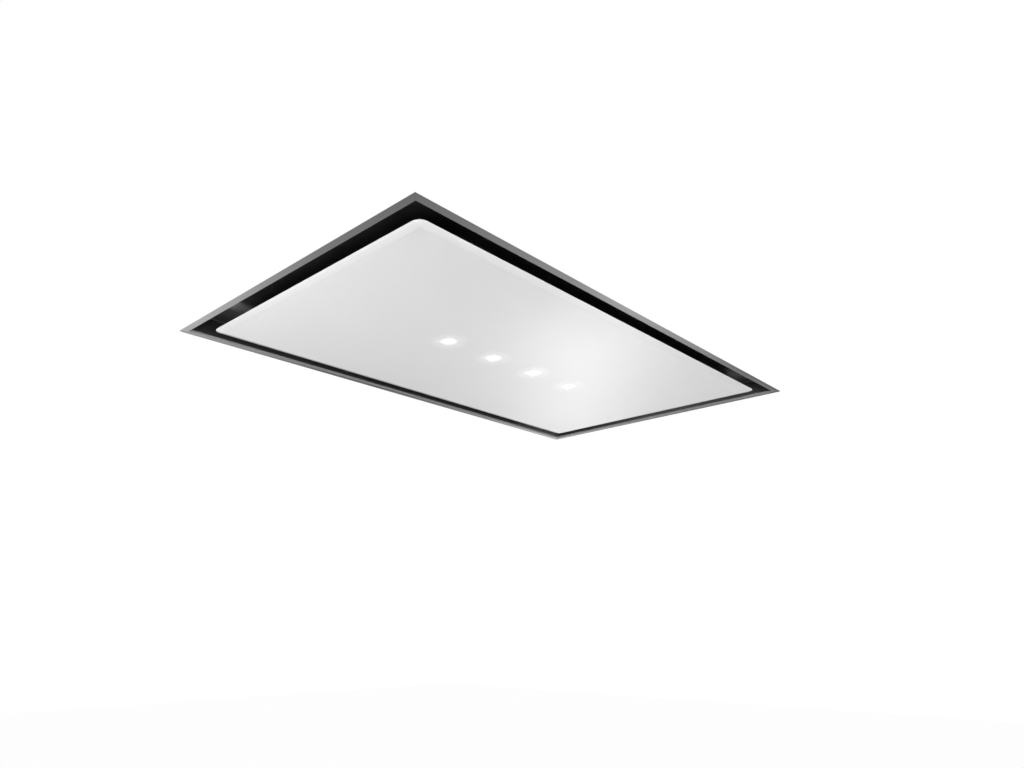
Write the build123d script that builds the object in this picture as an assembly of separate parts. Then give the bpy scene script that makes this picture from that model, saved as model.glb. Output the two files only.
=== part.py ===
from build123d import *
import os
from math import cos, radians, sin

# Flush ceiling range hood with suction all round a hinged glass panel.
# Millimetres, +Z up.  The origin is the centre of the ceiling cut-out, on the ceiling's face.
# +X runs along the long side.  The panel hangs on hinges at the +Y side and folds down.

# ---- Trim frame that bears on the ceiling --------------------------------------------------
trim_length = 900.0
trim_width = 500.0
flange_width = 9.0
flange_thickness = 1.5
flange_edge_round = 0.4
upstand_sheet = 1.0
upstand_height = 20.0

# ---- Black channel behind the slot ---------------------------------------------------------
liner_sheet = 1.0
bare_steel_height = 3.5          # steel that shows between the flange's face and the liner
plate_depth = 29.0               # flange's face up to the underside of the filter plate
plate_flange_height = 16.0

# ---- Housing above the ceiling -------------------------------------------------------------
housing_sheet = 1.0
housing_height = 125.0
housing_setback = 3.0            # ceiling's face up to the walls' lower edge
roof_bead_width = 14.0
roof_bead_height = 3.0
roof_bead_length = 170.0
roof_bead_pitch = 60.0
cable_hole_radius = 8.0

# ---- Glass panel ---------------------------------------------------------------------------
end_slot = 26.0                  # liner's edge to the panel's short edge
side_slot = 22.5                 # liner's edge to the panel's long edge
panel_corner_radius = 12.0
glass_thickness = 6.0
glass_face_inset = 11.0          # panel's edge to its flat lower face
glass_facet_inset = 4.0          # panel's edge to the line between its two lower bevels
glass_facet_rise = 1.6           # lower face to that line
glass_edge_rise = 3.0            # lower face to the panel's widest outline
glass_edge_land = 0.6
glass_back_inset = 9.0           # panel's edge to its flat back
glass_drop = 1.5                 # how far the glass stands below the flange's face
carrier_inset = 9.8
carrier_corner_radius = 1.7
carrier_sheet = 1.2
carrier_rim_height = 4.0
stiffener_width = 20.0
stiffener_height = 6.0
stiffener_setback = 65.0         # from the panel's short edges
stiffener_y = 110.0

# ---- Lamps ---------------------------------------------------------------------------------
lamp_count = 4
lamp_pitch = 100.0
lens_side = 30.0
lens_corner_radius = 1.5
lens_clearance = 0.3
lens_collar = 2.0
lamp_housing_side = 44.0
lamp_flange_thickness = 1.5
lamp_body_side = 36.0
lamp_chamber_side = 28.0
lamp_chamber_height = 5.4
lamp_cap_thickness = 1.6
lamp_fin_height = 5.0
lamp_fin_thickness = 1.2
lamp_fin_count = 7
board_thickness = 1.6

# ---- Panel hinges, catches and buffers -----------------------------------------------------
hinge_end_inset = 115.0          # panel's short edge to the middle of a hinge
hinge_pin_inset = 12.5           # panel's long edge to the pin's axis
hinge_pin_height = 11.0          # above the back of the glass
hinge_pin_radius = 2.5
hinge_pin_head_radius = 4.0
hinge_pin_head_thickness = 1.5
pin_clearance = 0.05
knuckle_radius = 6.0
knuckle_width = 14.0
knuckle_gap = 0.3
hinge_ear_thickness = 2.0
hinge_base_width = 44.0
hinge_base_reach = 22.0
hinge_base_thickness = 2.0
hinge_foot_reach = 60.0
hinge_foot_thickness = 2.0
catch_inset = 36.5               # panel's long edge to the middle of a catch
catch_length = 44.0
catch_width = 14.0
catch_base_length = 64.0
catch_base_thickness = 2.0
catch_height = 15.0
magnet_length = 30.0
magnet_width = 10.0
magnet_depth = 4.0
magnet_stand_out = 1.9           # below the catch's body
magnet_clearance = 0.2
catch_gap = 0.4
strike_length = 36.0
strike_width = 12.0
strike_sheet = 1.5
strike_foot_length = 12.0
buffer_radius = 5.0
buffer_end_inset = 35.0
buffer_gap = 0.3

# ---- Grease filters and their latches ------------------------------------------------------
filter_bar = 24.0                # steel between the two filter openings
filter_end_margin = 78.0         # liner's edge to the near filter opening
filter_side_margin = 66.0
filter_seat_height = 12.0
filter_clearance = 0.5
filter_height = 9.0
filter_frame_bar = 12.0
filter_latch_bar = 40.0
filter_groove_depth = 3.0
filter_mesh_thickness = 6.0
filter_mesh_play = 0.2
mesh_pitch = 24.0
mesh_hole_side = 15.0
lug_width = 16.0
lug_spacing = 120.0
lug_reach = 4.5
lug_low = 2.0                    # above the underside of the filter
lug_thickness = 4.0
slot_play = 0.3
latch_travel = 6.0
latch_body_width = 29.2
latch_body_length = 14.0
latch_thickness = 3.6
latch_side_play = 0.4
latch_setback = 8.0
latch_tongue_width = 15.0
latch_grip_width = 18.0
latch_grip_length = 3.0
latch_grip_drop = 4.3
latch_window_width = 22.0
spring_radius = 1.8
spring_wire_radius = 0.3
spring_turns = 6
spring_gap = 0.2

# ---- Blower --------------------------------------------------------------------------------
blower_x = -20.0
blower_y = 30.0
inlet_throat_radius = 76.0
inlet_mouth_round = 20.0
inlet_sheet = 1.5
inlet_flange_width = 12.0
inlet_throat_rise = 5.0
inlet_sectors = 8                # equal stretches that make up the ring
volute_rise = 17.0               # housing roof up to the underside of the volute
volute_sheet = 2.0
volute_inner_height = 130.0
volute_first_radius = 115.0
volute_growth = 28.0             # growth of the radius in each quarter turn
tongue_angle = 30.0              # past the lowest point of the first quarter
inlet_clearance = 1.5
volute_mount_radius = 8.0
wheel_radius = 93.0
wheel_inner_radius = 77.5
wheel_rise = 3.0                 # above the floor of the volute
wheel_height = 115.0
wheel_ring_thickness = 2.0
blade_count = 36
blade_thickness = 1.0
blade_bow_radius = 10.0
blade_half_angle = 50.0
cup_radius = 53.0
cup_wall = 1.5
cup_depth = 56.0
hub_radius = 12.0
hub_height = 14.0

# ---- Motor ---------------------------------------------------------------------------------
shaft_radius = 4.0
motor_radius = 46.0
motor_wall = 3.0
motor_depth = 64.0               # below the roof of the volute
motor_hole_clearance = 1.0
motor_flange_radius = 64.0
motor_flange_thickness = 3.0
motor_cap_radius = 40.0
motor_cap_height = 9.0
motor_screw_circle = 56.0
motor_screw_count = 4
grommet_radius = 6.0
grommet_thickness = 2.0
bearing_radius = 11.0
bearing_height = 7.0
bearing_boss_wall = 3.0
shaft_hole_clearance = 1.0
rotor_radius = 23.0
rotor_height = 38.0
air_gap = 0.6
stator_slot_width = 6.0
stator_slot_depth = 10.0
stator_slots = 12

# ---- Blower box ----------------------------------------------------------------------------
box_length = 440.0
box_width = 430.0
box_sheet = 1.0
box_height = 168.0
box_flange = 12.0
box_top_flange = 10.0
cover_lip = 6.0

# ---- Duct collar and check flaps -----------------------------------------------------------
collar_outer_radius = 74.5
collar_wall = 1.5
collar_length = 80.0
collar_flange_side = 154.0
collar_flange_thickness = 2.0
collar_seal_thickness = 1.0
collar_seal_width = 4.0
collar_bead_height = 1.0
flap_pin_radius = 1.5
flap_pin_setback = 6.0           # from the face of the collar's flange
flap_pin_head_radius = 3.0
flap_pin_head_thickness = 1.0
flap_thickness = 1.2
flap_clearance = 0.6
flap_root = 3.5                  # pin's axis to the inner edge of the flap
flap_knuckle_radius = 3.0
flap_knuckle_length = 20.0
flap_knuckle_gap = 0.5
flap_knuckle_offset = 34.0
flap_stop_gap = 0.3
flap_stop_depth = 2.0
flap_stop_thickness = 1.5
flap_spring_length = 16.0
flap_spring_radius = 2.6
flap_spring_clearance = 0.15

# ---- Electronics ---------------------------------------------------------------------------
electronics_x = 340.0
electronics_hanger_gap = 15.0    # electronics box to the feet of the hangers beside it
electronics_length = 170.0
electronics_width = 120.0
electronics_height = 55.0
electronics_sheet = 1.5
electronics_lip = 8.0
standoff_radius = 4.0
standoff_height = 6.0
board_length = 140.0
board_width = 90.0
board_margin = 7.0
driver_length = 70.0
driver_width = 34.0
driver_height = 24.0
terminal_length = 24.0
terminal_width = 44.0
terminal_height = 18.0
terminal_ways = 4
gland_radius = 9.8
gland_bore_radius = 5.0
gland_nut_radius = 13.0
gland_nut_thickness = 5.0
gland_reach = 17.0
gland_height = 30.0              # above the housing's roof

# ---- Hanging brackets ----------------------------------------------------------------------
hanger_end_inset = 43.0          # housing's short side to the middle of a bracket
hanger_side_inset = 42.0         # housing's long side to a bracket's web
hanger_width = 44.0
hanger_sheet = 2.0
hanger_height = 42.0
hanger_top_reach = 32.0
hanger_foot_reach = 26.0
hanger_slot_width = 9.0
hanger_slot_length = 20.0

# ---- Pan-head screws -----------------------------------------------------------------------
screw_radius = 2.0
screw_clearance = 0.1
screw_head_radius = 3.8
screw_head_height = 2.2
screw_head_round = 0.7
screw_recess_length = 4.0
screw_recess_width = 0.9
screw_recess_depth = 1.1
screw_end = 4.0                  # shank past the last sheet
long_wall_screws = (-300.0, 0.0, 300.0)
short_wall_screws = (-120.0, 120.0)
trim_screw_z = 12.0
plate_screw_rise = 8.0
box_long_screws = (-150.0, 0.0, 150.0)
box_short_screws = (-190.0, 0.0, 190.0)

# ---- Levels and sizes that follow ----------------------------------------------------------
flange_face_z = -flange_thickness
glass_face_z = flange_face_z - glass_drop
glass_back_z = glass_face_z + glass_thickness
carrier_floor_z = glass_back_z + carrier_sheet
plate_z = flange_face_z + plate_depth
plate_top_z = plate_z + liner_sheet
roof_z = housing_height
mouth_length = trim_length - 2 * flange_width
mouth_width = trim_width - 2 * flange_width
panel_length = mouth_length - 2 * end_slot
panel_width = mouth_width - 2 * side_slot
stiffener_length = panel_length - 2 * stiffener_setback
hinge_x = panel_length / 2 - hinge_end_inset
hinge_pin_y = panel_width / 2 - hinge_pin_inset
catch_y = catch_inset - panel_width / 2
buffer_x = panel_length / 2 - buffer_end_inset
housing_bore_length = mouth_length + 2 * upstand_sheet
housing_bore_width = mouth_width + 2 * upstand_sheet
housing_length = housing_bore_length + 2 * housing_sheet
housing_width = housing_bore_width + 2 * housing_sheet
carrier_length = panel_length - 2 * carrier_inset
carrier_width = panel_width - 2 * carrier_inset
hinge_pin_z = glass_back_z + hinge_pin_height
knuckle_bore_radius = hinge_pin_radius + pin_clearance
hinge_ear_inner = knuckle_width / 2 + knuckle_gap
hinge_ear_outer = hinge_ear_inner + hinge_ear_thickness
lamp_xs = [(index - (lamp_count - 1) / 2) * lamp_pitch for index in range(lamp_count)]
filter_opening_length = (mouth_length - filter_bar) / 2 - filter_end_margin
filter_opening_width = mouth_width - 2 * filter_side_margin
filter_x = (filter_bar + filter_opening_length) / 2
filter_z = plate_z + filter_clearance
filter_length = filter_opening_length - 2 * filter_clearance
filter_width = filter_opening_width - 2 * filter_clearance
filter_front_y = -filter_width / 2
filter_back_y = filter_width / 2
window_length = filter_length - 2 * filter_frame_bar
window_width = filter_width - filter_frame_bar - filter_latch_bar
window_y = (filter_latch_bar - filter_frame_bar) / 2
mesh_columns = int(window_length // mesh_pitch)
mesh_rows = int(window_width // mesh_pitch)
lug_z = filter_z + lug_low
latch_z = filter_z + lug_low
latch_body_front_y = filter_front_y + latch_setback
latch_body_back_y = latch_body_front_y + latch_body_length
spring_length = latch_travel + spring_turns * 2 * spring_wire_radius
latch_pocket_back_y = latch_body_back_y + spring_length + 2 * spring_gap
volute_z = roof_z + volute_rise
volute_floor_z = volute_z + volute_sheet
volute_roof_z = volute_floor_z + volute_inner_height
volute_top_z = volute_roof_z + volute_sheet
volute_reach = volute_first_radius + 4 * volute_growth
wheel_z = volute_floor_z + wheel_rise
wheel_top_z = wheel_z + wheel_height
cup_floor_z = wheel_top_z - cup_depth
motor_z = volute_top_z - motor_depth
motor_flange_z = volute_top_z + grommet_thickness
motor_cap_z = motor_flange_z + motor_flange_thickness
box_top_z = roof_z + box_height
duct_low_y = blower_y - volute_growth / 2 - (volute_first_radius + 3 * volute_growth)
duct_high_y = blower_y + volute_growth / 2 - volute_first_radius * cos(radians(tongue_angle))
duct_y = (duct_low_y + duct_high_y) / 2
duct_z = volute_floor_z + volute_inner_height / 2
box_wall_x = box_length / 2
collar_face_x = box_wall_x + collar_seal_thickness + collar_flange_thickness
collar_bore_radius = collar_outer_radius - collar_wall
collar_end_x = collar_face_x + collar_length
flap_pin_x = collar_face_x + flap_pin_setback
flap_radius = collar_bore_radius - flap_clearance
screw_hole_radius = screw_radius + screw_clearance
trim_screw_shank = liner_sheet + upstand_sheet + housing_sheet
plate_screw_shank = liner_sheet + housing_sheet
electronics_cover_z = roof_z + electronics_height
board_z = roof_z + electronics_sheet + standoff_height
gland_wall_x = electronics_x + electronics_length / 2
hanger_x = housing_length / 2 - hanger_end_inset
hanger_web_y = housing_width / 2 - hanger_side_inset
electronics_y = hanger_web_y - hanger_foot_reach - electronics_hanger_gap - electronics_width / 2
hanger_slot_y = hanger_web_y + hanger_sheet + hanger_top_reach / 2
hanger_top_z = roof_z + hanger_height


# ---- Plain shapes --------------------------------------------------------------------------
def block(length, width, low, high, x=0.0, y=0.0, corner=0.0):
    """An upright block from one height to another, with its plan corners rounded."""
    outline = RectangleRounded(length, width, corner) if corner else Rectangle(length, width)
    return Pos(x, y, low) * extrude(outline, high - low)


def span(x_range, y_range, z_range):
    """A block given by its limits along each axis."""
    length = x_range[1] - x_range[0]
    width = y_range[1] - y_range[0]
    return block(length, width, *z_range, sum(x_range) / 2, sum(y_range) / 2)


def wall_ring(length, width, thickness, low, high, x=0.0, y=0.0, corner=0.0):
    """Four walls round a rectangle, measured over their outside."""
    inner_corner = max(corner - thickness, 0.0)
    core = block(length - 2 * thickness, width - 2 * thickness, low, high, x, y, inner_corner)
    return block(length, width, low, high, x, y, corner) - core


def post(radius, low, high, x=0.0, y=0.0):
    """An upright round bar."""
    return Pos(x, y, low) * extrude(Circle(radius), high - low)


def pipe(outer, inner, low, high, x=0.0, y=0.0):
    """An upright tube."""
    return post(outer, low, high, x, y) - post(inner, low, high, x, y)


def bar_x(radius, start, end, y, z):
    """A round bar along X."""
    return Pos(start, y, z) * extrude(Plane.YZ * Circle(radius), end - start)


def bar_y(radius, start, end, x, z):
    """A round bar along Y."""
    return Pos(x, start, z) * extrude(Plane.ZX * Circle(radius), end - start)


def merge(pieces):
    """One solid out of pieces that touch or cross."""
    pieces = list(pieces)
    return pieces[0] if len(pieces) == 1 else pieces[0].fuse(*pieces[1:])


def save(node, *pieces):
    """Write the solids of one sub-part to its own file."""
    solids = [solid for piece in pieces for solid in piece.solids()]
    export_step(Compound(solids), f"parts/{node}.step")


# ---- Screws --------------------------------------------------------------------------------
def pan_screw(shank_length):
    """A pan-head screw with its head's seat at the origin and its shank along +Z."""
    head = post(screw_head_radius, -screw_head_height, 0)
    head = fillet(head.edges().group_by(Axis.Z)[0], screw_head_round)
    slot = block(screw_recess_length, screw_recess_width, -screw_head_height,
                 screw_recess_depth - screw_head_height)
    return head + post(screw_radius, 0, shank_length) - slot - Rot(0, 0, 90) * slot


def upright_screws(points, seat_z, shank_length, downward):
    """Screws driven down on to a face, or up against one."""
    screw = pan_screw(shank_length)
    if downward:
        screw = Rot(180, 0, 0) * screw
    return [Pos(x, y, seat_z) * screw for x, y in points]


def screw_holes(points, low, high):
    """Clearance holes for upright screws."""
    return [post(screw_hole_radius, low, high, x, y) for x, y in points]


def wall_screw_holes(z):
    """Bars that cut the clearance holes in the four walls of the mouth, at one height."""
    reach_x = housing_length / 2
    reach_y = housing_width / 2
    bars = [bar_y(screw_hole_radius, -reach_y, reach_y, x, z) for x in long_wall_screws]
    bars += [bar_x(screw_hole_radius, -reach_x, reach_x, y, z) for y in short_wall_screws]
    return bars


def wall_screws(z, head_length, head_width, shank_length):
    """Screws through the four walls, with their heads inside."""
    screw = pan_screw(shank_length)
    placed = []
    for x in long_wall_screws:
        placed.append(Pos(x, head_width / 2, z) * Rot(-90, 0, 0) * screw)
        placed.append(Pos(x, -head_width / 2, z) * Rot(90, 0, 0) * screw)
    for y in short_wall_screws:
        placed.append(Pos(head_length / 2, y, z) * Rot(0, 90, 0) * screw)
        placed.append(Pos(-head_length / 2, y, z) * Rot(0, -90, 0) * screw)
    return placed


# ---- Where the upright screws go -----------------------------------------------------------
def box_screw_points():
    """Through the outer flange of the blower box, into the housing's roof."""
    x_line = box_length / 2 + box_flange / 2
    y_line = box_width / 2 + box_flange / 2
    points = [(x, side * y_line) for x in box_long_screws for side in (-1, 1)]
    return points + [(side * x_line, y) for y in box_short_screws for side in (-1, 1)]


def cover_screw_points():
    """Through the cover, into the inner flange of the blower box."""
    x_line = box_length / 2 - box_top_flange / 2
    y_line = box_width / 2 - box_top_flange / 2
    return [(x, y) for x in (-x_line, 0.0, x_line) for y in (-y_line, y_line)]


def hanger_screw_points():
    """Through the feet of the hanging brackets."""
    y_line = hanger_web_y - hanger_foot_reach / 2
    offset = hanger_width / 2 - 3 * screw_head_radius
    centres = [(x, y) for x in (-hanger_x, hanger_x) for y in (-y_line, y_line)]
    return [(x + shift, y) for x, y in centres for shift in (-offset, offset)]


def electronics_screw_points():
    """Through the floor of the electronics box, beside its board."""
    x_line = electronics_length / 2 - 2 * screw_head_radius
    return [(electronics_x + side * x_line, electronics_y) for side in (-1, 1)]


def motor_screw_points():
    """Round the motor's flange."""
    step = 360.0 / motor_screw_count
    angles = [radians(step / 2 + step * index) for index in range(motor_screw_count)]
    return [(blower_x + motor_screw_circle * cos(angle), blower_y + motor_screw_circle * sin(angle))
            for angle in angles]


def hinge_base_screw_points():
    """Through the bases of the hinge brackets."""
    offset = hinge_base_width / 2 - 2 * screw_head_radius
    y = hinge_pin_y + knuckle_radius - hinge_base_reach
    return [(side * hinge_x + shift, y) for side in (-1, 1) for shift in (-offset, offset)]


def catch_screw_points():
    """Through both ends of the magnet catches."""
    offset = (catch_length + catch_base_length) / 4
    return [(side * hinge_x + shift, catch_y) for side in (-1, 1) for shift in (-offset, offset)]


def hinge_foot_screw_points():
    """Through the feet of the hinge arms."""
    near = hinge_pin_y - knuckle_radius - 2 * screw_head_radius
    far = hinge_pin_y + knuckle_radius - hinge_foot_reach + 2 * screw_head_radius
    return [(side * hinge_x, y) for side in (-1, 1) for y in (near, far)]


def strike_screw_points():
    """Through the feet of the strike plates."""
    offset = (strike_length + strike_foot_length) / 2
    return [(side * hinge_x + shift, catch_y) for side in (-1, 1) for shift in (-offset, offset)]


def lamp_screw_points():
    """Through two corners of each lamp housing's flange."""
    offset = lamp_housing_side / 2
    return [(x + side * offset, side * offset) for x in lamp_xs for side in (-1, 1)]


# ---- Trim and channel ----------------------------------------------------------------------
def trim_frame():
    flange = wall_ring(trim_length, trim_width, flange_width, flange_face_z, 0)
    outer_edges = [edge for edge in flange.edges().group_by(Axis.Z)[0]
                   if edge.length > trim_width - flange_width]
    flange = fillet(outer_edges, flange_edge_round)
    upstand = wall_ring(housing_bore_length, housing_bore_width, upstand_sheet, flange_face_z, upstand_height)
    return merge([flange, upstand]) - wall_screw_holes(trim_screw_z)


def channel_liner():
    low = flange_face_z + bare_steel_height
    return wall_ring(mouth_length, mouth_width, liner_sheet, low, plate_z) - wall_screw_holes(trim_screw_z)


def filter_plate():
    """The black plate over the channel, with a turned-up edge and a seat round each filter."""
    plate = block(housing_bore_length, housing_bore_width, plate_z, plate_top_z)
    edge = wall_ring(housing_bore_length, housing_bore_width, liner_sheet, plate_z,
                     plate_z + plate_flange_height)
    body = plate + edge
    for side in (-1, 1):
        seat = block(filter_opening_length + 2 * liner_sheet, filter_opening_width + 2 * liner_sheet,
                     plate_z, plate_top_z + filter_seat_height, side * filter_x)
        opening = block(filter_opening_length, filter_opening_width, plate_z,
                        plate_top_z + filter_seat_height, side * filter_x)
        body = body + seat - opening - filter_seat_slots(side * filter_x)
    body -= wall_screw_holes(plate_z + plate_screw_rise)
    return body - screw_holes(hinge_base_screw_points() + catch_screw_points(), plate_z, plate_top_z)


def filter_seat_slots(centre_x):
    """The slots that a filter's two lugs and its latch reach through."""
    wall_y = (filter_opening_width / 2 - liner_sheet, filter_opening_width / 2 + 2 * liner_sheet)
    lug_half = lug_width / 2 + slot_play
    slots = []
    for offset in (-lug_spacing / 2, lug_spacing / 2):
        slots.append(span((centre_x + offset - lug_half, centre_x + offset + lug_half), wall_y,
                          (lug_z - slot_play, lug_z + lug_thickness + slot_play)))
    tongue_half = latch_tongue_width / 2 + slot_play
    slots.append(span((centre_x - tongue_half, centre_x + tongue_half), (-wall_y[1], -wall_y[0]),
                      (latch_z - slot_play, latch_z + latch_thickness + slot_play)))
    return slots


# ---- Housing and what hangs it -------------------------------------------------------------
def housing_shell():
    """A roof on four walls, welded along their edges."""
    under_roof = roof_z - housing_sheet
    roof = block(housing_length, housing_width, under_roof, roof_z)
    roof -= post(inlet_throat_radius + inlet_mouth_round, under_roof, roof_z, blower_x, blower_y)
    roof -= post(cable_hole_radius, under_roof, roof_z, *cable_hole_point())
    roof -= screw_holes(box_screw_points() + hanger_screw_points() + electronics_screw_points(),
                        under_roof, roof_z)
    holes = wall_screw_holes(trim_screw_z) + wall_screw_holes(plate_z + plate_screw_rise)
    long_y = (housing_width - housing_sheet) / 2
    short_x = (housing_length - housing_sheet) / 2
    walls = [block(housing_length, housing_sheet, housing_setback, under_roof, 0, side * long_y)
             for side in (-1, 1)]
    walls += [block(housing_sheet, housing_bore_width, housing_setback, under_roof, side * short_x, 0)
              for side in (-1, 1)]
    return [merge([roof] + roof_beads())] + [wall - holes for wall in walls]


def roof_beads():
    """Pressed stiffening beads on the free stretch of the roof, left of the blower box."""
    x = -(box_length / 2 + box_flange + housing_length / 2) / 2
    beads = []
    for offset in (-1, 0, 1):
        middle = Pos(x, offset * roof_bead_pitch, roof_z) * Cylinder(
            roof_bead_width / 2, roof_bead_length, rotation=(0, 90, 0))
        keep = block(roof_bead_length, roof_bead_width, roof_z, roof_z + roof_bead_height, x,
                     offset * roof_bead_pitch)
        beads.append(middle & keep)
    return beads


def cable_hole_point():
    """Where the mains and lamp wires pass through the roof, under the electronics box."""
    return electronics_x, electronics_y - electronics_width / 2 + 2 * cable_hole_radius


def hanger_brackets():
    """Four Z-shaped brackets, each with a slot for a hanging rod in its outward top."""
    brackets = []
    slot = SlotOverall(hanger_slot_length, hanger_slot_width)
    for side_x in (-1, 1):
        for side_y in (-1, 1):
            x = side_x * hanger_x
            web = block(hanger_width, hanger_sheet, roof_z, hanger_top_z, x,
                        side_y * (hanger_web_y + hanger_sheet / 2))
            top = block(hanger_width, hanger_top_reach + hanger_sheet, hanger_top_z - hanger_sheet,
                        hanger_top_z, x, side_y * (hanger_web_y + (hanger_top_reach + hanger_sheet) / 2))
            foot = block(hanger_width, hanger_foot_reach, roof_z, roof_z + hanger_sheet, x,
                         side_y * (hanger_web_y - hanger_foot_reach / 2))
            cut = Pos(x, side_y * hanger_slot_y, hanger_top_z - hanger_sheet) * extrude(slot, hanger_sheet)
            brackets.append(merge([web, top, foot]) - cut)
    holes = screw_holes(hanger_screw_points(), roof_z, roof_z + hanger_sheet)
    return [bracket - holes for bracket in brackets]


# ---- Panel ---------------------------------------------------------------------------------
def glass_outline(inset, z):
    """The panel's outline at one level, so far inside its widest one."""
    outline = RectangleRounded(panel_length - 2 * inset, panel_width - 2 * inset,
                               panel_corner_radius - inset)
    return (Pos(0, 0, z) * outline).face()


def glass_panel():
    """A slab with two bevels below its edge and one above, so that its rim looks thin."""
    edge_z = glass_face_z + glass_edge_rise
    panel = loft([
        glass_outline(glass_face_inset, glass_face_z),
        glass_outline(glass_facet_inset, glass_face_z + glass_facet_rise),
        glass_outline(0, edge_z),
        glass_outline(0, edge_z + glass_edge_land),
        glass_outline(glass_back_inset, glass_back_z),
    ], ruled=True)
    hole = lens_side + 2 * lens_clearance
    for x in lamp_xs:
        panel -= block(hole, hole, glass_face_z, glass_back_z, x, corner=lens_corner_radius)
    return panel


def panel_carrier():
    floor = block(carrier_length, carrier_width, glass_back_z, carrier_floor_z, corner=carrier_corner_radius)
    rim = wall_ring(carrier_length, carrier_width, carrier_sheet, glass_back_z,
                    glass_back_z + carrier_rim_height, corner=carrier_corner_radius)
    body = floor + rim
    for side in (-1, 1):
        body -= block(knuckle_width + 2 * knuckle_gap, 2 * knuckle_radius, carrier_floor_z,
                      glass_back_z + carrier_rim_height, side * hinge_x, hinge_pin_y)
    top = carrier_floor_z + stiffener_height
    for side in (-1, 1):
        hat = block(stiffener_length, stiffener_width, carrier_floor_z, top, 0, side * stiffener_y)
        core = block(stiffener_length, stiffener_width - 2 * carrier_sheet, carrier_floor_z,
                     top - carrier_sheet, 0, side * stiffener_y)
        body += hat - core
    hole = lens_side + 2 * (lens_collar + lens_clearance)
    for x in lamp_xs:
        body -= block(hole, hole, glass_back_z, carrier_floor_z, x)
    points = hinge_foot_screw_points() + strike_screw_points() + lamp_screw_points()
    return body - screw_holes(points, glass_back_z, carrier_floor_z)


def lamp_lens(x):
    """A frosted block flush with the glass, held by its collar under the lamp housing."""
    collar_side = lens_side + 2 * lens_collar
    body = block(lens_side, lens_side, glass_face_z, carrier_floor_z, x, corner=lens_corner_radius)
    return body + block(collar_side, collar_side, glass_back_z, carrier_floor_z, x)


def lamp_housing(x):
    """A cast cup with cooling fins, whose flange is screwed to the carrier."""
    cap_z = carrier_floor_z + lamp_chamber_height
    fins_z = cap_z + lamp_cap_thickness
    top = fins_z + lamp_fin_height
    flange = block(lamp_housing_side, lamp_housing_side, carrier_floor_z,
                   carrier_floor_z + lamp_flange_thickness, x)
    ears = [post(2 * screw_head_radius, carrier_floor_z, carrier_floor_z + lamp_flange_thickness, *point)
            for point in lamp_screw_points() if abs(point[0] - x) < lamp_pitch / 2]
    cup = block(lamp_body_side, lamp_body_side, carrier_floor_z, fins_z, x, corner=lens_corner_radius)
    pitch = (lamp_body_side - lamp_fin_thickness) / (lamp_fin_count - 1)
    first = x - (lamp_body_side - lamp_fin_thickness) / 2
    fin_length = lamp_body_side - 2 * lens_corner_radius
    fins = [block(lamp_fin_thickness, fin_length, fins_z, top, first + index * pitch)
            for index in range(lamp_fin_count)]
    body = merge([flange, cup] + ears + fins)
    body -= block(lamp_chamber_side, lamp_chamber_side, carrier_floor_z, cap_z, x)
    return body - screw_holes(lamp_screw_points(), carrier_floor_z, carrier_floor_z + lamp_flange_thickness)


def lamp_boards():
    high = carrier_floor_z + lamp_chamber_height
    side = lamp_chamber_side - 2 * lens_clearance
    return [block(side, side, high - board_thickness, high, x) for x in lamp_xs]


def hinge_arm(side):
    """The panel's half of a hinge: a foot on the carrier and a knuckle round the pin."""
    x = side * hinge_x
    back_y = hinge_pin_y + knuckle_radius
    foot = block(knuckle_width, hinge_foot_reach, carrier_floor_z, carrier_floor_z + hinge_foot_thickness,
                 x, back_y - hinge_foot_reach / 2)
    neck = block(knuckle_width, 2 * knuckle_radius, carrier_floor_z, hinge_pin_z, x, hinge_pin_y)
    knuckle = bar_x(knuckle_radius, x - knuckle_width / 2, x + knuckle_width / 2, hinge_pin_y, hinge_pin_z)
    bore = bar_x(knuckle_bore_radius, x - knuckle_width / 2, x + knuckle_width / 2, hinge_pin_y, hinge_pin_z)
    holes = screw_holes(hinge_foot_screw_points(), carrier_floor_z, carrier_floor_z + hinge_foot_thickness)
    return merge([foot, neck, knuckle]) - bore - holes


def hinge_bracket(side):
    """The fixed half of a hinge: a base under the filter plate and two ears for the pin."""
    x = side * hinge_x
    base_z = plate_z - hinge_base_thickness
    base_y = hinge_pin_y + knuckle_radius - hinge_base_reach
    base = span((x - hinge_base_width / 2, x + hinge_base_width / 2),
                (base_y - 2 * screw_head_radius, hinge_pin_y + knuckle_radius), (base_z, plate_z))
    pieces = [base]
    for ear_side in (-1, 1):
        near = x + ear_side * hinge_ear_inner
        far = x + ear_side * hinge_ear_outer
        ear_x = (min(near, far), max(near, far))
        pieces.append(span(ear_x, (hinge_pin_y - knuckle_radius, hinge_pin_y + knuckle_radius),
                           (hinge_pin_z, base_z)))
        pieces.append(bar_x(knuckle_radius, *ear_x, hinge_pin_y, hinge_pin_z))
    bore = bar_x(knuckle_bore_radius, x - hinge_ear_outer, x + hinge_ear_outer, hinge_pin_y, hinge_pin_z)
    return merge(pieces) - bore - screw_holes(hinge_base_screw_points(), base_z, plate_z)


def hinge_pin(side):
    x = side * hinge_x
    shank = bar_x(hinge_pin_radius, x - hinge_ear_outer, x + hinge_ear_outer, hinge_pin_y, hinge_pin_z)
    heads = [bar_x(hinge_pin_head_radius, start, start + hinge_pin_head_thickness, hinge_pin_y, hinge_pin_z)
             for start in (x - hinge_ear_outer - hinge_pin_head_thickness, x + hinge_ear_outer)]
    return merge([shank] + heads)


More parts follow.
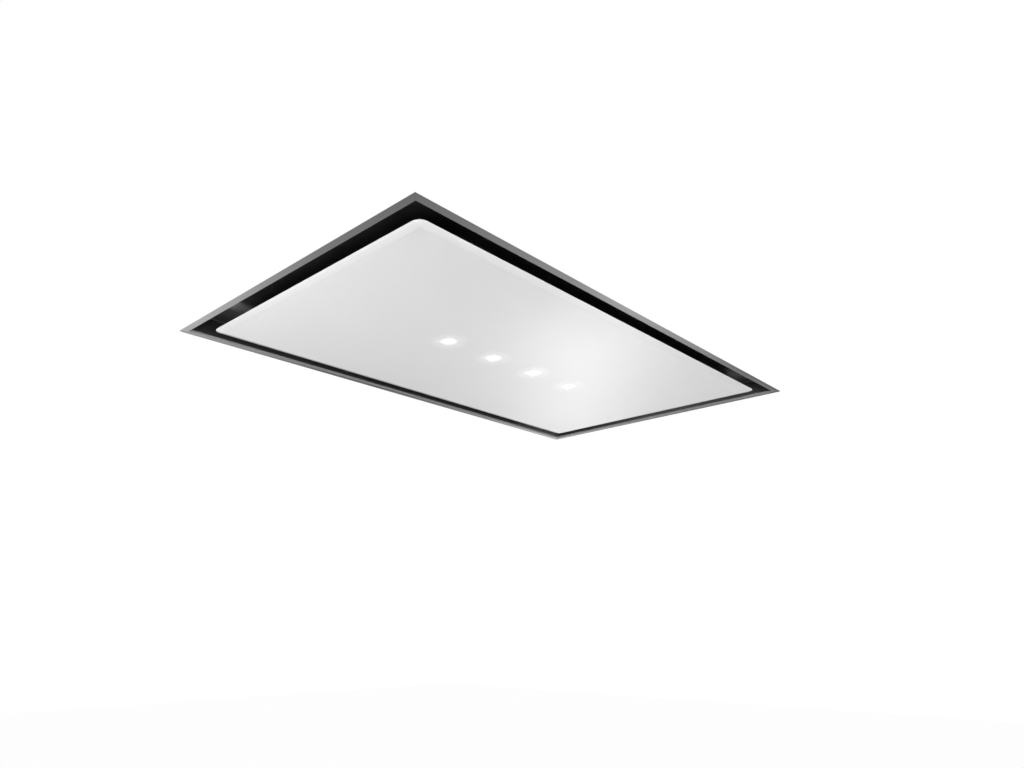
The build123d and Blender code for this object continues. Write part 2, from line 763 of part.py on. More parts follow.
def magnet_catch(side):
    """A moulded body with a block magnet in a pocket under it."""
    x = side * hinge_x
    body_z = plate_z - catch_height
    base = block(catch_base_length, catch_width, plate_z - catch_base_thickness, plate_z, x, catch_y)
    body = block(catch_length, catch_width, body_z, plate_z, x, catch_y)
    pocket = block(magnet_length + 2 * magnet_clearance, magnet_width + 2 * magnet_clearance, body_z,
                   body_z + magnet_depth, x, catch_y)
    holes = screw_holes(catch_screw_points(), plate_z - catch_base_thickness, plate_z)
    magnet = block(magnet_length, magnet_width, body_z - magnet_stand_out, body_z + magnet_depth, x, catch_y)
    return [base + body - pocket - holes, magnet]


def strike_plate(side):
    """A bent steel plate on the carrier, close under the magnet."""
    x = side * hinge_x
    top = plate_z - catch_height - magnet_stand_out - catch_gap
    bridge = block(strike_length, strike_width, top - strike_sheet, top, x, catch_y)
    pieces = [bridge]
    for end in (-1, 1):
        pieces.append(block(strike_sheet, strike_width, carrier_floor_z, top,
                            x + end * (strike_length - strike_sheet) / 2, catch_y))
        pieces.append(block(strike_foot_length, strike_width, carrier_floor_z, carrier_floor_z + strike_sheet,
                            x + end * (strike_length + strike_foot_length) / 2, catch_y))
    return merge(pieces) - screw_holes(strike_screw_points(), carrier_floor_z, carrier_floor_z + strike_sheet)


def panel_buffers():
    """Rubber posts that the panel's free corners rest on the filter plate with."""
    return [post(buffer_radius, carrier_floor_z, plate_z - buffer_gap, side * buffer_x, catch_y)
            for side in (-1, 1)]


def panel_screws():
    screws = upright_screws(hinge_foot_screw_points(), carrier_floor_z + hinge_foot_thickness,
                            hinge_foot_thickness + carrier_sheet, True)
    screws += upright_screws(strike_screw_points(), carrier_floor_z + strike_sheet,
                             strike_sheet + carrier_sheet, True)
    screws += upright_screws(lamp_screw_points(), carrier_floor_z + lamp_flange_thickness,
                             lamp_flange_thickness + carrier_sheet, True)
    return screws


# ---- Filters -------------------------------------------------------------------------------
def filter_frame(side):
    """An aluminium cassette frame with two lugs at its back and a latch pocket at its front."""
    x = side * filter_x
    top = filter_z + filter_height
    body = block(filter_length, filter_width, filter_z, top, x)
    body -= block(window_length, window_width, filter_z, top, x, window_y)
    groove_half = filter_mesh_thickness / 2 + filter_mesh_play
    middle = filter_z + filter_height / 2
    body -= block(window_length + 2 * filter_groove_depth, window_width + 2 * filter_groove_depth,
                  middle - groove_half, middle + groove_half, x, window_y)
    for offset in (-lug_spacing / 2, lug_spacing / 2):
        body += block(lug_width, lug_reach + filter_frame_bar / 2, lug_z, lug_z + lug_thickness, x + offset,
                      filter_back_y + lug_reach / 2 - filter_frame_bar / 4)
    return body - latch_pocket(x)


def latch_pocket(x):
    """The room for a latch: its chamber, the way out for its tongue and the window for its grip."""
    chamber_half = latch_body_width / 2 + latch_side_play
    chamber_z = (latch_z - slot_play, latch_z + latch_thickness + slot_play)
    chamber = span((x - chamber_half, x + chamber_half), (latch_body_front_y, latch_pocket_back_y), chamber_z)
    tongue_half = latch_tongue_width / 2 + slot_play
    way_out = span((x - tongue_half, x + tongue_half), (filter_front_y, latch_body_front_y), chamber_z)
    window_half = latch_window_width / 2
    window = span((x - window_half, x + window_half), (latch_body_front_y, latch_pocket_back_y),
                  (filter_z, latch_z))
    return [chamber, way_out, window]


def filter_mesh(side):
    """The expanded metal pack, as one holed sheet in the frame's groove."""
    x = side * filter_x
    reach = 2 * (filter_groove_depth - filter_mesh_play)
    middle = filter_z + filter_height / 2
    outline = Rectangle(window_length + reach, window_width + reach)
    holes = GridLocations(mesh_pitch, mesh_pitch, mesh_columns, mesh_rows) * Rectangle(
        mesh_hole_side, mesh_hole_side, rotation=45)
    sheet = outline - holes
    low = middle - filter_mesh_thickness / 2
    return Pos(x, window_y, low) * extrude(sheet, filter_mesh_thickness)


def filter_latch(side):
    """A slide with a tongue that locks in the filter's seat and a grip that stands out below."""
    x = side * filter_x
    top = latch_z + latch_thickness
    half = latch_body_width / 2
    body = span((x - half, x + half), (latch_body_front_y, latch_body_back_y), (latch_z, top))
    tongue_half = latch_tongue_width / 2
    tongue = span((x - tongue_half, x + tongue_half), (filter_front_y - lug_reach, latch_body_front_y),
                  (latch_z, top))
    grip_half = latch_grip_width / 2
    grip_y = (latch_body_front_y + latch_body_back_y) / 2
    grip = span((x - grip_half, x + grip_half),
                (grip_y - latch_grip_length / 2, grip_y + latch_grip_length / 2),
                (latch_z - latch_grip_drop, latch_z))
    return merge([body, tongue, grip])


def latch_spring(side):
    """A closed coil behind the latch, as a sleeve of its outer size."""
    z = latch_z + latch_thickness / 2
    start = latch_body_back_y + spring_gap
    outside = bar_y(spring_radius, start, start + spring_length, side * filter_x, z)
    core_radius = spring_radius - 2 * spring_wire_radius
    return outside - bar_y(core_radius, start, start + spring_length, side * filter_x, z)


# ---- Blower --------------------------------------------------------------------------------
def scroll_outline():
    """The inside of the volute: four arcs, each larger by the same step, and the way out."""
    half = volute_growth / 2
    centres = [(half, half), (-half, half), (-half, -half), (half, -half)]
    starts = [-90.0 + tongue_angle, 0.0, 90.0, 180.0]
    edges = []
    for index, (centre, start) in enumerate(zip(centres, starts)):
        radius = volute_first_radius + index * volute_growth
        sweep = 90.0 * index - start
        edges.append(CenterArc(centre, radius, start, sweep))
    tongue = edges[0] @ 0
    bottom = edges[3] @ 1
    end_x = box_wall_x - box_sheet - blower_x
    edges.append(Line(bottom, (end_x, bottom.Y)))
    edges.append(Line((end_x, bottom.Y), (end_x, tongue.Y)))
    edges.append(Line((end_x, tongue.Y), tongue))
    return make_face(edges)


def scroll_plate():
    """The scroll's outline grown by its wall, cut off where the duct leaves."""
    end_x = box_wall_x - box_sheet - blower_x
    beyond = Pos(end_x + volute_first_radius / 2, 0) * Rectangle(volute_first_radius, 2 * volute_reach)
    return offset(scroll_outline(), volute_sheet, kind=Kind.INTERSECTION) - beyond


def at_blower(sketch, low, high):
    return Pos(blower_x, blower_y, low) * extrude(sketch, high - low)


def volute_lower():
    """The scroll's floor, with the hole that the inlet ring reaches up through."""
    inlet_hole = Circle(inlet_throat_radius + inlet_sheet + inlet_clearance)
    return at_blower(scroll_plate() - inlet_hole, volute_z, volute_floor_z)


def volute_wrapper():
    """The scroll's wall, in the five lengths that it is welded from."""
    strip = scroll_plate() - scroll_outline()
    half = volute_growth / 2
    lengths = []
    for side_x, side_y in ((1, -1), (1, 1), (-1, 1), (-1, -1)):
        centre_x = side_x * volute_reach - side_y * half
        centre_y = side_y * volute_reach + side_x * half
        quarter = Pos(centre_x, centre_y) * Rectangle(2 * volute_reach, 2 * volute_reach)
        lengths.append(at_blower(strip & quarter, volute_floor_z, volute_roof_z))
    return lengths


def volute_upper():
    """The scroll's roof, which carries the motor."""
    motor_hole = Circle(motor_radius + motor_hole_clearance)
    roof = at_blower(scroll_plate() - motor_hole, volute_roof_z, volute_top_z)
    return roof - screw_holes(motor_screw_points(), volute_roof_z, volute_top_z)


def volute_mounts():
    """Rubber feet between the housing's roof and the volute."""
    angles = [radians(angle) for angle in (45.0, 135.0, 225.0)]
    reach = inlet_throat_radius + inlet_mouth_round + inlet_flange_width + 2 * volute_mount_radius
    return [post(volute_mount_radius, roof_z, volute_z, blower_x + reach * cos(angle),
                 blower_y + reach * sin(angle)) for angle in angles]


def inlet_ring():
    """A bellmouth in equal sectors: a flange on the roof that turns up into the wheel's mouth."""
    centre = (inlet_throat_radius + inlet_mouth_round, inlet_mouth_round)
    outer = inlet_mouth_round
    inner = inlet_mouth_round - inlet_sheet
    rim = centre[0] + inlet_flange_width
    top = inlet_mouth_round + inlet_throat_rise
    throat = inlet_throat_radius
    flow_arc = CenterArc(centre, outer, 180, 90)
    back_arc = CenterArc(centre, inner, 180, 90)
    edges = [flow_arc, back_arc,
             Line(flow_arc @ 1, (rim, 0)), Line((rim, 0), (rim, inlet_sheet)),
             Line((rim, inlet_sheet), back_arc @ 1),
             Line(flow_arc @ 0, (throat, top)), Line((throat, top), (throat + inlet_sheet, top)),
             Line((throat + inlet_sheet, top), back_arc @ 0)]
    profile = Plane.XZ * make_face(edges)
    arc = 360 / inlet_sectors
    sector = revolve(profile, Axis.Z, revolution_arc=arc)
    return [Pos(blower_x, blower_y, roof_z) * Rot(0, 0, index * arc) * sector
            for index in range(inlet_sectors)]


def blade_outline():
    """One forward-curved blade in plan, on the +X side."""
    mid_radius = (wheel_radius + wheel_inner_radius) / 2
    centre = (mid_radius, -blade_bow_radius)
    start = 90.0 - blade_half_angle
    outer = CenterArc(centre, blade_bow_radius + blade_thickness / 2, start, 2 * blade_half_angle)
    inner = CenterArc(centre, blade_bow_radius - blade_thickness / 2, start, 2 * blade_half_angle)
    return make_face([outer, Line(outer @ 0, inner @ 0), inner, Line(outer @ 1, inner @ 1)])


def wheel_blades():
    """Curved blades between the wheel's ring and its back plate."""
    blade = extrude(blade_outline(), wheel_height - 2 * wheel_ring_thickness)
    annulus = pipe(wheel_radius, wheel_inner_radius, 0, wheel_height)
    low = wheel_z + wheel_ring_thickness
    return [Pos(blower_x, blower_y, low) * ((Rot(0, 0, index * 360.0 / blade_count) * blade) & annulus)
            for index in range(blade_count)]


def wheel_ring():
    return pipe(wheel_radius, wheel_inner_radius, wheel_z, wheel_z + wheel_ring_thickness, blower_x, blower_y)


def blower_wheel():
    """The wheel's back plate, with a cup and hub that go round the motor."""
    back = Circle(wheel_radius) - Circle(cup_radius)
    back_plate = Pos(0, 0, wheel_height - wheel_ring_thickness) * extrude(back, wheel_ring_thickness)
    cup_low = wheel_height - cup_depth
    cup = pipe(cup_radius + cup_wall, cup_radius, cup_low, wheel_height)
    cup_floor = post(cup_radius + cup_wall, cup_low - cup_wall, cup_low)
    hub = post(hub_radius, cup_low - hub_height, cup_low)
    body = merge([back_plate, cup, cup_floor, hub])
    body -= post(shaft_radius + pin_clearance, cup_low - hub_height, cup_low)
    return Pos(blower_x, blower_y, wheel_z) * body


# ---- Motor ---------------------------------------------------------------------------------
def motor_housing():
    """A can that hangs into the wheel's cup, with a seat for the lower bearing."""
    floor_z = motor_z + motor_wall
    can = pipe(motor_radius, motor_radius - motor_wall, motor_z, motor_flange_z, blower_x, blower_y)
    floor = post(motor_radius, motor_z, floor_z, blower_x, blower_y)
    boss = post(bearing_radius + bearing_boss_wall, floor_z, floor_z + bearing_height, blower_x, blower_y)
    flange = pipe(motor_flange_radius, motor_radius - motor_wall, motor_flange_z, motor_cap_z,
                  blower_x, blower_y)
    body = merge([can, floor, boss, flange])
    body -= post(bearing_radius, floor_z, floor_z + bearing_height, blower_x, blower_y)
    body -= post(shaft_radius + shaft_hole_clearance, motor_z, floor_z, blower_x, blower_y)
    return body - screw_holes(motor_screw_points(), motor_flange_z, motor_cap_z)


def motor_end_cap():
    """The lid of the motor, with a seat for the upper bearing under it."""
    cap = post(motor_radius, motor_cap_z, motor_cap_z + motor_wall, blower_x, blower_y)
    dome = post(motor_cap_radius, motor_cap_z, motor_cap_z + motor_cap_height, blower_x, blower_y)
    dome = fillet(dome.edges().group_by(Axis.Z)[-1], motor_wall)
    boss = post(bearing_radius + bearing_boss_wall, motor_cap_z - bearing_height, motor_cap_z,
                blower_x, blower_y)
    body = merge([cap, dome, boss])
    body -= post(bearing_radius, motor_cap_z - bearing_height, motor_cap_z, blower_x, blower_y)
    return body - post(shaft_radius + shaft_hole_clearance, motor_cap_z, motor_cap_z + motor_wall,
                       blower_x, blower_y)


def motor_bearings():
    lower = motor_z + motor_wall
    upper = motor_cap_z - bearing_height
    return [pipe(bearing_radius, shaft_radius + pin_clearance, low, low + bearing_height, blower_x, blower_y)
            for low in (lower, upper)]


def rotor_z_range():
    middle = (motor_z + motor_cap_z) / 2
    return middle - rotor_height / 2, middle + rotor_height / 2


def motor_stator():
    """A laminated ring with slots for its windings."""
    low, high = rotor_z_range()
    bore = rotor_radius + air_gap
    ring = Circle(motor_radius - motor_wall) - Circle(bore)
    step = 360.0 / stator_slots
    slot = Pos(bore + stator_slot_depth / 2 + air_gap, 0) * Rectangle(stator_slot_depth, stator_slot_width)
    for index in range(stator_slots):
        ring -= Rot(0, 0, index * step) * slot
    return at_blower(ring, low, high)


def motor_shaft():
    """The shaft with its rotor, from the wheel's hub up into the end cap."""
    low, high = rotor_z_range()
    shaft = post(shaft_radius, cup_floor_z - hub_height, motor_cap_z + motor_wall / 2, blower_x, blower_y)
    return shaft + post(rotor_radius, low, high, blower_x, blower_y)


def motor_grommets():
    """Rubber rings under the motor's flange."""
    return [pipe(grommet_radius, screw_hole_radius, volute_top_z, motor_flange_z, *point)
            for point in motor_screw_points()]


# ---- Blower box ----------------------------------------------------------------------------
def box_wall(length, corners):
    """One folded wall of the blower box along X: its outward foot, its web and its inward top."""
    foot_length = length + 2 * box_flange if corners else length
    top_length = length - 2 * (box_sheet if corners else box_top_flange - box_sheet)
    web = block(length, box_sheet, roof_z, box_top_z, 0, -box_sheet / 2)
    foot = block(foot_length, box_flange + box_sheet, roof_z, roof_z + box_sheet, 0,
                 (box_flange - box_sheet) / 2)
    top = block(top_length, box_top_flange, box_top_z - box_sheet, box_top_z, 0, -box_top_flange / 2)
    return merge([web, foot, top])


def box_holes():
    return screw_holes(box_screw_points(), roof_z, roof_z + box_sheet) + screw_holes(
        cover_screw_points(), box_top_z - box_sheet, box_top_z)


def blower_box():
    """The front, back and left walls of the blower's box."""
    long_wall = Pos(0, box_width / 2) * box_wall(box_length, True)
    short_wall = Pos(0, box_length / 2) * box_wall(box_width - 2 * box_sheet, False)
    walls = [long_wall, Rot(0, 0, 180) * long_wall, Rot(0, 0, 90) * short_wall]
    return [wall - box_holes() for wall in walls]


def blower_outlet_wall():
    """The right wall of the blower's box, with the hole to the duct collar."""
    wall = Rot(0, 0, -90) * Pos(0, box_length / 2) * box_wall(box_width - 2 * box_sheet, False)
    wall -= bar_x(collar_bore_radius, box_wall_x - box_sheet, box_wall_x, duct_y, duct_z)
    return wall - collar_screw_holes(box_wall_x - box_sheet, box_wall_x) - box_holes()


def blower_cover():
    length = box_length + 2 * box_sheet
    width = box_width + 2 * box_sheet
    plate = block(length, width, box_top_z, box_top_z + box_sheet)
    lip = wall_ring(length, width, box_sheet, box_top_z - cover_lip, box_top_z + box_sheet)
    return plate + lip - screw_holes(cover_screw_points(), box_top_z, box_top_z + box_sheet)


# ---- Duct collar and check flaps -----------------------------------------------------------
def collar_screw_spots():
    """The corners of the collar's flange, as Y and Z."""
    offset = collar_flange_side / 2 - 2 * screw_head_radius
    return [(duct_y + side_y * offset, duct_z + side_z * offset) for side_y in (-1, 1) for side_z in (-1, 1)]


def collar_screw_holes(start, end):
    return [bar_x(screw_hole_radius, start, end, *spot) for spot in collar_screw_spots()]


def outlet_collar():
    """A square flange with a round spigot, a snap bead at its end and a stop for the flaps."""
    flange_x = collar_face_x - collar_flange_thickness
    plate = Pos(flange_x, duct_y, duct_z) * extrude(
        Plane.YZ * RectangleRounded(collar_flange_side, collar_flange_side, 2 * screw_head_radius),
        collar_flange_thickness)
    spigot = bar_x(collar_outer_radius, flange_x, collar_end_x, duct_y, duct_z)
    bead = Pos(collar_face_x + collar_length / 2, duct_y, duct_z) * Rot(0, 90, 0) * Torus(
        collar_outer_radius, collar_bead_height)
    body = merge([plate, spigot]) - bar_x(collar_bore_radius, flange_x, collar_end_x, duct_y, duct_z)
    body += bead - bar_x(collar_bore_radius, flange_x, collar_end_x, duct_y, duct_z)
    stop_x = flap_pin_x - flap_thickness / 2 - flap_stop_gap
    stop = bar_x(collar_bore_radius, stop_x - flap_stop_thickness, stop_x, duct_y, duct_z)
    stop -= bar_x(collar_bore_radius - flap_stop_depth, stop_x - flap_stop_thickness, stop_x, duct_y, duct_z)
    body += stop
    body -= post(flap_pin_radius + pin_clearance, duct_z - collar_outer_radius, duct_z + collar_outer_radius,
                 flap_pin_x, duct_y)
    return body - collar_screw_holes(flange_x, collar_face_x)


def collar_seal():
    """A soft ring between the box and the collar."""
    ring = bar_x(collar_bore_radius + collar_seal_width, box_wall_x, box_wall_x + collar_seal_thickness,
                 duct_y, duct_z)
    return ring - bar_x(collar_bore_radius, box_wall_x, box_wall_x + collar_seal_thickness, duct_y, duct_z)


def flap_pin():
    reach = collar_outer_radius
    pin = post(flap_pin_radius, duct_z - reach, duct_z + reach, flap_pin_x, duct_y)
    heads = [post(flap_pin_head_radius, low, low + flap_pin_head_thickness, flap_pin_x, duct_y)
             for low in (duct_z - reach - flap_pin_head_thickness, duct_z + reach)]
    return merge([pin] + heads)


def check_flap(side):
    """Half a disc that hangs on the pin by its knuckles and folds downstream."""
    half_disc = bar_x(flap_radius, flap_pin_x - flap_thickness / 2, flap_pin_x + flap_thickness / 2,
                      duct_y, duct_z)
    reach = 2 * flap_radius
    keep_y = duct_y + side * (flap_root + reach / 2)
    half_disc &= block(reach, reach, duct_z - reach / 2, duct_z + reach / 2, flap_pin_x, keep_y)
    spots = knuckle_spots(side)
    pieces = [half_disc]
    for low in spots:
        high = low + flap_knuckle_length
        pieces.append(post(flap_knuckle_radius, low, high, flap_pin_x, duct_y))
        web_y = (duct_y, duct_y + side * (flap_root + flap_knuckle_radius))
        pieces.append(span((flap_pin_x - flap_thickness / 2, flap_pin_x + flap_thickness / 2),
                           (min(web_y), max(web_y)), (low, high)))
    body = merge(pieces)
    bore = flap_pin_radius + pin_clearance
    return body - [post(bore, low, low + flap_knuckle_length, flap_pin_x, duct_y) for low in spots]


def knuckle_spots(side):
    """The low ends of one flap's two knuckles, which stand beside those of the other flap."""
    shift = side * (flap_knuckle_length + flap_knuckle_gap) / 2
    return [duct_z + level * flap_knuckle_offset + shift - flap_knuckle_length / 2 for level in (-1, 1)]


def flap_spring():
    """The closed coil round the middle of the pin, as a sleeve of its outer size."""
    low = duct_z - flap_spring_length / 2
    return pipe(flap_spring_radius, flap_pin_radius + flap_spring_clearance, low, low + flap_spring_length,
                flap_pin_x, duct_y)


# ---- Electronics ---------------------------------------------------------------------------
def board_corner_points():
    reach_x = board_length / 2 - standoff_radius
    reach_y = board_width / 2 - standoff_radius
    return [(electronics_x + side_x * reach_x, electronics_y + side_y * reach_y)
            for side_x in (-1, 1) for side_y in (-1, 1)]


def electronics_box():
    """A floor with standoffs for the board, and four walls."""
    floor_top = roof_z + electronics_sheet
    plate = block(electronics_length, electronics_width, roof_z, floor_top, electronics_x, electronics_y)
    standoffs = [post(standoff_radius, roof_z, board_z, *point) for point in board_corner_points()]
    floor = merge([plate] + standoffs)
    floor -= post(cable_hole_radius, roof_z, floor_top, *cable_hole_point())
    floor -= screw_holes(electronics_screw_points(), roof_z, floor_top)
    long_y = (electronics_width - electronics_sheet) / 2
    short_x = (electronics_length - electronics_sheet) / 2
    walls = [block(electronics_length, electronics_sheet, floor_top, electronics_cover_z, electronics_x,
                   electronics_y + side * long_y) for side in (-1, 1)]
    walls += [block(electronics_sheet, electronics_width - 2 * electronics_sheet, floor_top,
                    electronics_cover_z, electronics_x + side * short_x, electronics_y) for side in (-1, 1)]
    gland_hole = bar_x(gland_radius, gland_wall_x - electronics_sheet, gland_wall_x, electronics_y,
                       roof_z + gland_height)
    return [floor] + [wall - gland_hole for wall in walls]


def electronics_cover():
    length = electronics_length + 2 * electronics_sheet
    width = electronics_width + 2 * electronics_sheet
    top = electronics_cover_z + electronics_sheet
    plate = block(length, width, electronics_cover_z, top, electronics_x, electronics_y)
    lip = wall_ring(length, width, electronics_sheet, electronics_cover_z - electronics_lip, top,
                    electronics_x, electronics_y)
    return plate + lip


def control_board():
    return block(board_length, board_width, board_z, board_z + board_thickness, electronics_x, electronics_y)


def lamp_driver():
    """A sealed power supply for the lamps, standing on the board."""
    low = board_z + board_thickness
    x = electronics_x - board_length / 2 + board_margin + driver_length / 2
    y = electronics_y + board_width / 2 - board_margin - driver_width / 2
    return block(driver_length, driver_width, low, low + driver_height, x, y, corner=standoff_radius / 2)


def terminal_block():
    """A row of screw terminals on the board, next to the gland."""
    low = board_z + board_thickness
    x = electronics_x + board_length / 2 - board_margin - terminal_length / 2
    body = block(terminal_length, terminal_width, low, low + terminal_height, x, electronics_y)
    pitch = terminal_width / terminal_ways
    for index in range(terminal_ways):
        y = electronics_y + (index - (terminal_ways - 1) / 2) * pitch
        body -= post(screw_radius, low + terminal_height / 2, low + terminal_height, x, y)
    return body


def cable_gland():
    """A gland through the electronics box's wall, with a nut on each side of it."""
    z = roof_z + gland_height
    inner = gland_wall_x - electronics_sheet - gland_nut_thickness
    outer = gland_wall_x + gland_reach
    body = bar_x(gland_radius, inner, outer, electronics_y, z)
    hexagon = Plane.YZ * RegularPolygon(gland_nut_radius, 6)
    nuts = [Pos(start, electronics_y, z) * extrude(hexagon, gland_nut_thickness)
            for start in (inner, gland_wall_x)]
    return merge([body] + nuts) - bar_x(gland_bore_radius, inner, outer, electronics_y, z)


# ---- Screws of the fixed frame -------------------------------------------------------------
def mouth_screws():
    """Screws that can be reached from below: trim, filter plate, hinge brackets and catches."""
    screws = wall_screws(trim_screw_z, mouth_length - 2 * liner_sheet, mouth_width - 2 * liner_sheet,
                         trim_screw_shank)
    screws += wall_screws(plate_z + plate_screw_rise, housing_bore_length - 2 * liner_sheet,
                          housing_bore_width - 2 * liner_sheet, plate_screw_shank)
    screws += upright_screws(hinge_base_screw_points(), plate_z - hinge_base_thickness,
                             hinge_base_thickness + liner_sheet + screw_end, False)
    screws += upright_screws(catch_screw_points(), plate_z - catch_base_thickness,
                             catch_base_thickness + liner_sheet + screw_end, False)
    return screws


def roof_screws():
    """Screws above the ceiling: blower box, cover, hangers, electronics box, motor and collar."""
    grip = housing_sheet + screw_end
    screws = upright_screws(box_screw_points(), roof_z + box_sheet, box_sheet + grip, True)
    screws += upright_screws(hanger_screw_points(), roof_z + hanger_sheet, hanger_sheet + grip, True)
    screws += upright_screws(electronics_screw_points(), roof_z + electronics_sheet,
                             electronics_sheet + grip, True)
    screws += upright_screws(cover_screw_points(), box_top_z + box_sheet, 2 * box_sheet + screw_end, True)
    motor_grip = motor_flange_thickness + grommet_thickness + volute_sheet
    screws += upright_screws(motor_screw_points(), motor_cap_z, motor_grip, True)
    side_screw = pan_screw(collar_flange_thickness + collar_seal_thickness + box_sheet + screw_end)
    screws += [Pos(collar_face_x, *spot) * Rot(0, -90, 0) * side_screw for spot in collar_screw_spots()]
    return screws


# ---- All sub-parts -------------------------------------------------------------------------
def main():
    os.makedirs("parts", exist_ok=True)
    save("trim_frame", trim_frame())
    save("channel_liner", channel_liner())
    save("filter_plate", filter_plate())
    save("housing_shell", *housing_shell())
    save("hanger_brackets", *hanger_brackets())
    save("glass_panel", glass_panel())
    save("panel_carrier", panel_carrier())
    save("lamp_boards", *lamp_boards())
    save("panel_buffers", *panel_buffers())
    save("panel_screws", *panel_screws())
    save("strike_plates", strike_plate(-1), strike_plate(1))
    save("magnet_catches", *magnet_catch(-1), *magnet_catch(1))
    save("hinge_pins", hinge_pin(-1), hinge_pin(1))
    save("lamp_lenses", *[lamp_lens(x) for x in lamp_xs])
    save("lamp_housings", *[lamp_housing(x) for x in lamp_xs])
    for name, side in (("left", -1), ("right", 1)):
        save(f"hinge_arm_{name}", hinge_arm(side))
        save(f"hinge_bracket_{name}", hinge_bracket(side))
        save(f"filter_frame_{name}", filter_frame(side))
        save(f"filter_mesh_{name}", filter_mesh(side))
        save(f"filter_latch_{name}", filter_latch(side))
        save(f"latch_spring_{name}", latch_spring(side))
    save("inlet_ring", *inlet_ring())
    save("volute_lower", volute_lower())
    save("volute_wrapper", *volute_wrapper())
    save("volute_upper", volute_upper())
    save("volute_mounts", *volute_mounts())
    save("blower_wheel", blower_wheel())
    save("wheel_blades", *wheel_blades())
    save("wheel_ring", wheel_ring())
    save("motor_housing", motor_housing())
    save("motor_end_cap", motor_end_cap())
    save("motor_bearings", *motor_bearings())
    save("motor_stator", motor_stator())
    save("motor_shaft", motor_shaft())
    save("motor_grommets", *motor_grommets())
    save("blower_box", *blower_box())
    save("blower_outlet_wall", blower_outlet_wall())
    save("blower_cover", blower_cover())
    save("outlet_collar", outlet_collar())
    save("collar_seal", collar_seal())
    save("flap_pin", flap_pin())
    save("flap_spring", flap_spring())
    save("check_flap_front", check_flap(-1))
    save("check_flap_back", check_flap(1))
    save("electronics_box", *electronics_box())
    save("electronics_cover", electronics_cover())
    save("control_board", control_board())
    save("lamp_driver", lamp_driver())
    save("terminal_block", terminal_block())
    save("cable_gland", cable_gland())
    save("mouth_screws", *mouth_screws())
    save("roof_screws", *roof_screws())


main()
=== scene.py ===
import math

import bpy
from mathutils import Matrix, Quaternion, Vector


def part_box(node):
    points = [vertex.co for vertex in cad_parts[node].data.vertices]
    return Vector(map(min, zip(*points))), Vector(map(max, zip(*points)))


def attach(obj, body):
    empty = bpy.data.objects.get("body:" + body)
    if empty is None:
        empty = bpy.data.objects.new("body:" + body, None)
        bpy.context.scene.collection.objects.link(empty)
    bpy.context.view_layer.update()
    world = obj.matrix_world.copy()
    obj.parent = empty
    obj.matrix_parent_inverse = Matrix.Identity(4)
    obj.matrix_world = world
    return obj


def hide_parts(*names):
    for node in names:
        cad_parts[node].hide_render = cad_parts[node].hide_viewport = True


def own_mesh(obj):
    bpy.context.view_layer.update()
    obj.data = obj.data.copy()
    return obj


# A flush ceiling range hood: a hinged white glass panel with four square lamps hangs in a black
# channel inside a steel trim frame.  Its housing, filters and blower stand above the ceiling.
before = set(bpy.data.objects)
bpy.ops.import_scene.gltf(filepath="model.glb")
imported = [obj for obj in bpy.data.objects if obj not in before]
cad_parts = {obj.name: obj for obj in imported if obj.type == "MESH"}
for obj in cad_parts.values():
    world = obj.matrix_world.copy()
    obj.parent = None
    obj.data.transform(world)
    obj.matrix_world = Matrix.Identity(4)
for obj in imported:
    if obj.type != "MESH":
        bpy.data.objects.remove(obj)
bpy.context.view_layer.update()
scene = bpy.context.scene

# ---- Places on the hood, in metres -----------------------------------------------------------
TRIM_HALF = (0.450, 0.250)          # outer edge of the trim's flange
TRIM_LIP = 0.0088                   # from that edge to the trim's bright inner lip
LIP_TOP = 0.003
CUTOUT_HALF = (0.4445, 0.2445)      # hole in the ceiling, hidden by the flange
MOUTH_HALF = (0.440, 0.240)         # inside of the black channel
PLATE_Z = 0.0275                    # underside of the black filter plate
PANEL_HALF = (0.415, 0.2185)        # widest edges of the glass
GLASS_BEVEL = 0.011                 # from those edges to the flat lower face
GLASS_FACET = 0.004                 # from those edges to the line between the two bevels
LAMP_PITCH = 0.100
ROOF_Z = 0.125                      # top of the housing
BLOWER_AXIS = (-0.020, 0.030)
STATOR_TOOTH = 0.035                # from that axis to the ends of the stator's windings
DUCT_Y, DUCT_Z = -0.119296, 0.209

# ---- Tones -----------------------------------------------------------------------------------
# Painted reflections: greys along the trim's four sides, as pairs of share of the length and level:
# the long sides from left to right and the short ones from front to back.
TRIM_REFLECTION_TONES = {
    "front": ((0.0, 0.15), (0.18, 0.21), (0.30, 0.26), (0.37, 0.34), (0.45, 0.36), (0.55, 0.285),
              (0.68, 0.205), (0.83, 0.075), (1.0, 0.055)),
    "back": ((0.0, 0.34), (0.10, 0.26), (0.19, 0.16), (0.27, 0.06), (0.44, 0.03), (0.55, 0.05),
             (0.63, 0.11), (0.74, 0.21), (0.88, 0.42), (1.0, 0.45)),
    "left": ((0.0, 0.15), (0.3, 0.18), (0.5, 0.26), (0.7, 0.36), (0.9, 0.43), (1.0, 0.42)),
    "right": ((0.0, 0.04), (0.3, 0.05), (0.5, 0.13), (0.6, 0.19), (1.0, 0.36)),
}
ROOM_PAINT = (0.8, 0.8, 0.8, 1.0)
WHITE = (1.0, 1.0, 1.0, 1.0)

# ---- Stage and light -------------------------------------------------------------------------
CAMERA_PLACE = (-0.8726, -0.7140, -0.4104)
CAMERA_RISE, CAMERA_TURN = 18.53, 45.0
CAMERA_LENS, CAMERA_SHIFT = 25.78, 0.0657
FLOOR_Z = -2.3
FLOOR_WHITE = 0.97                  # plain white's share in the floor; the rest takes shadow
ROOM_LIGHT = 0.555
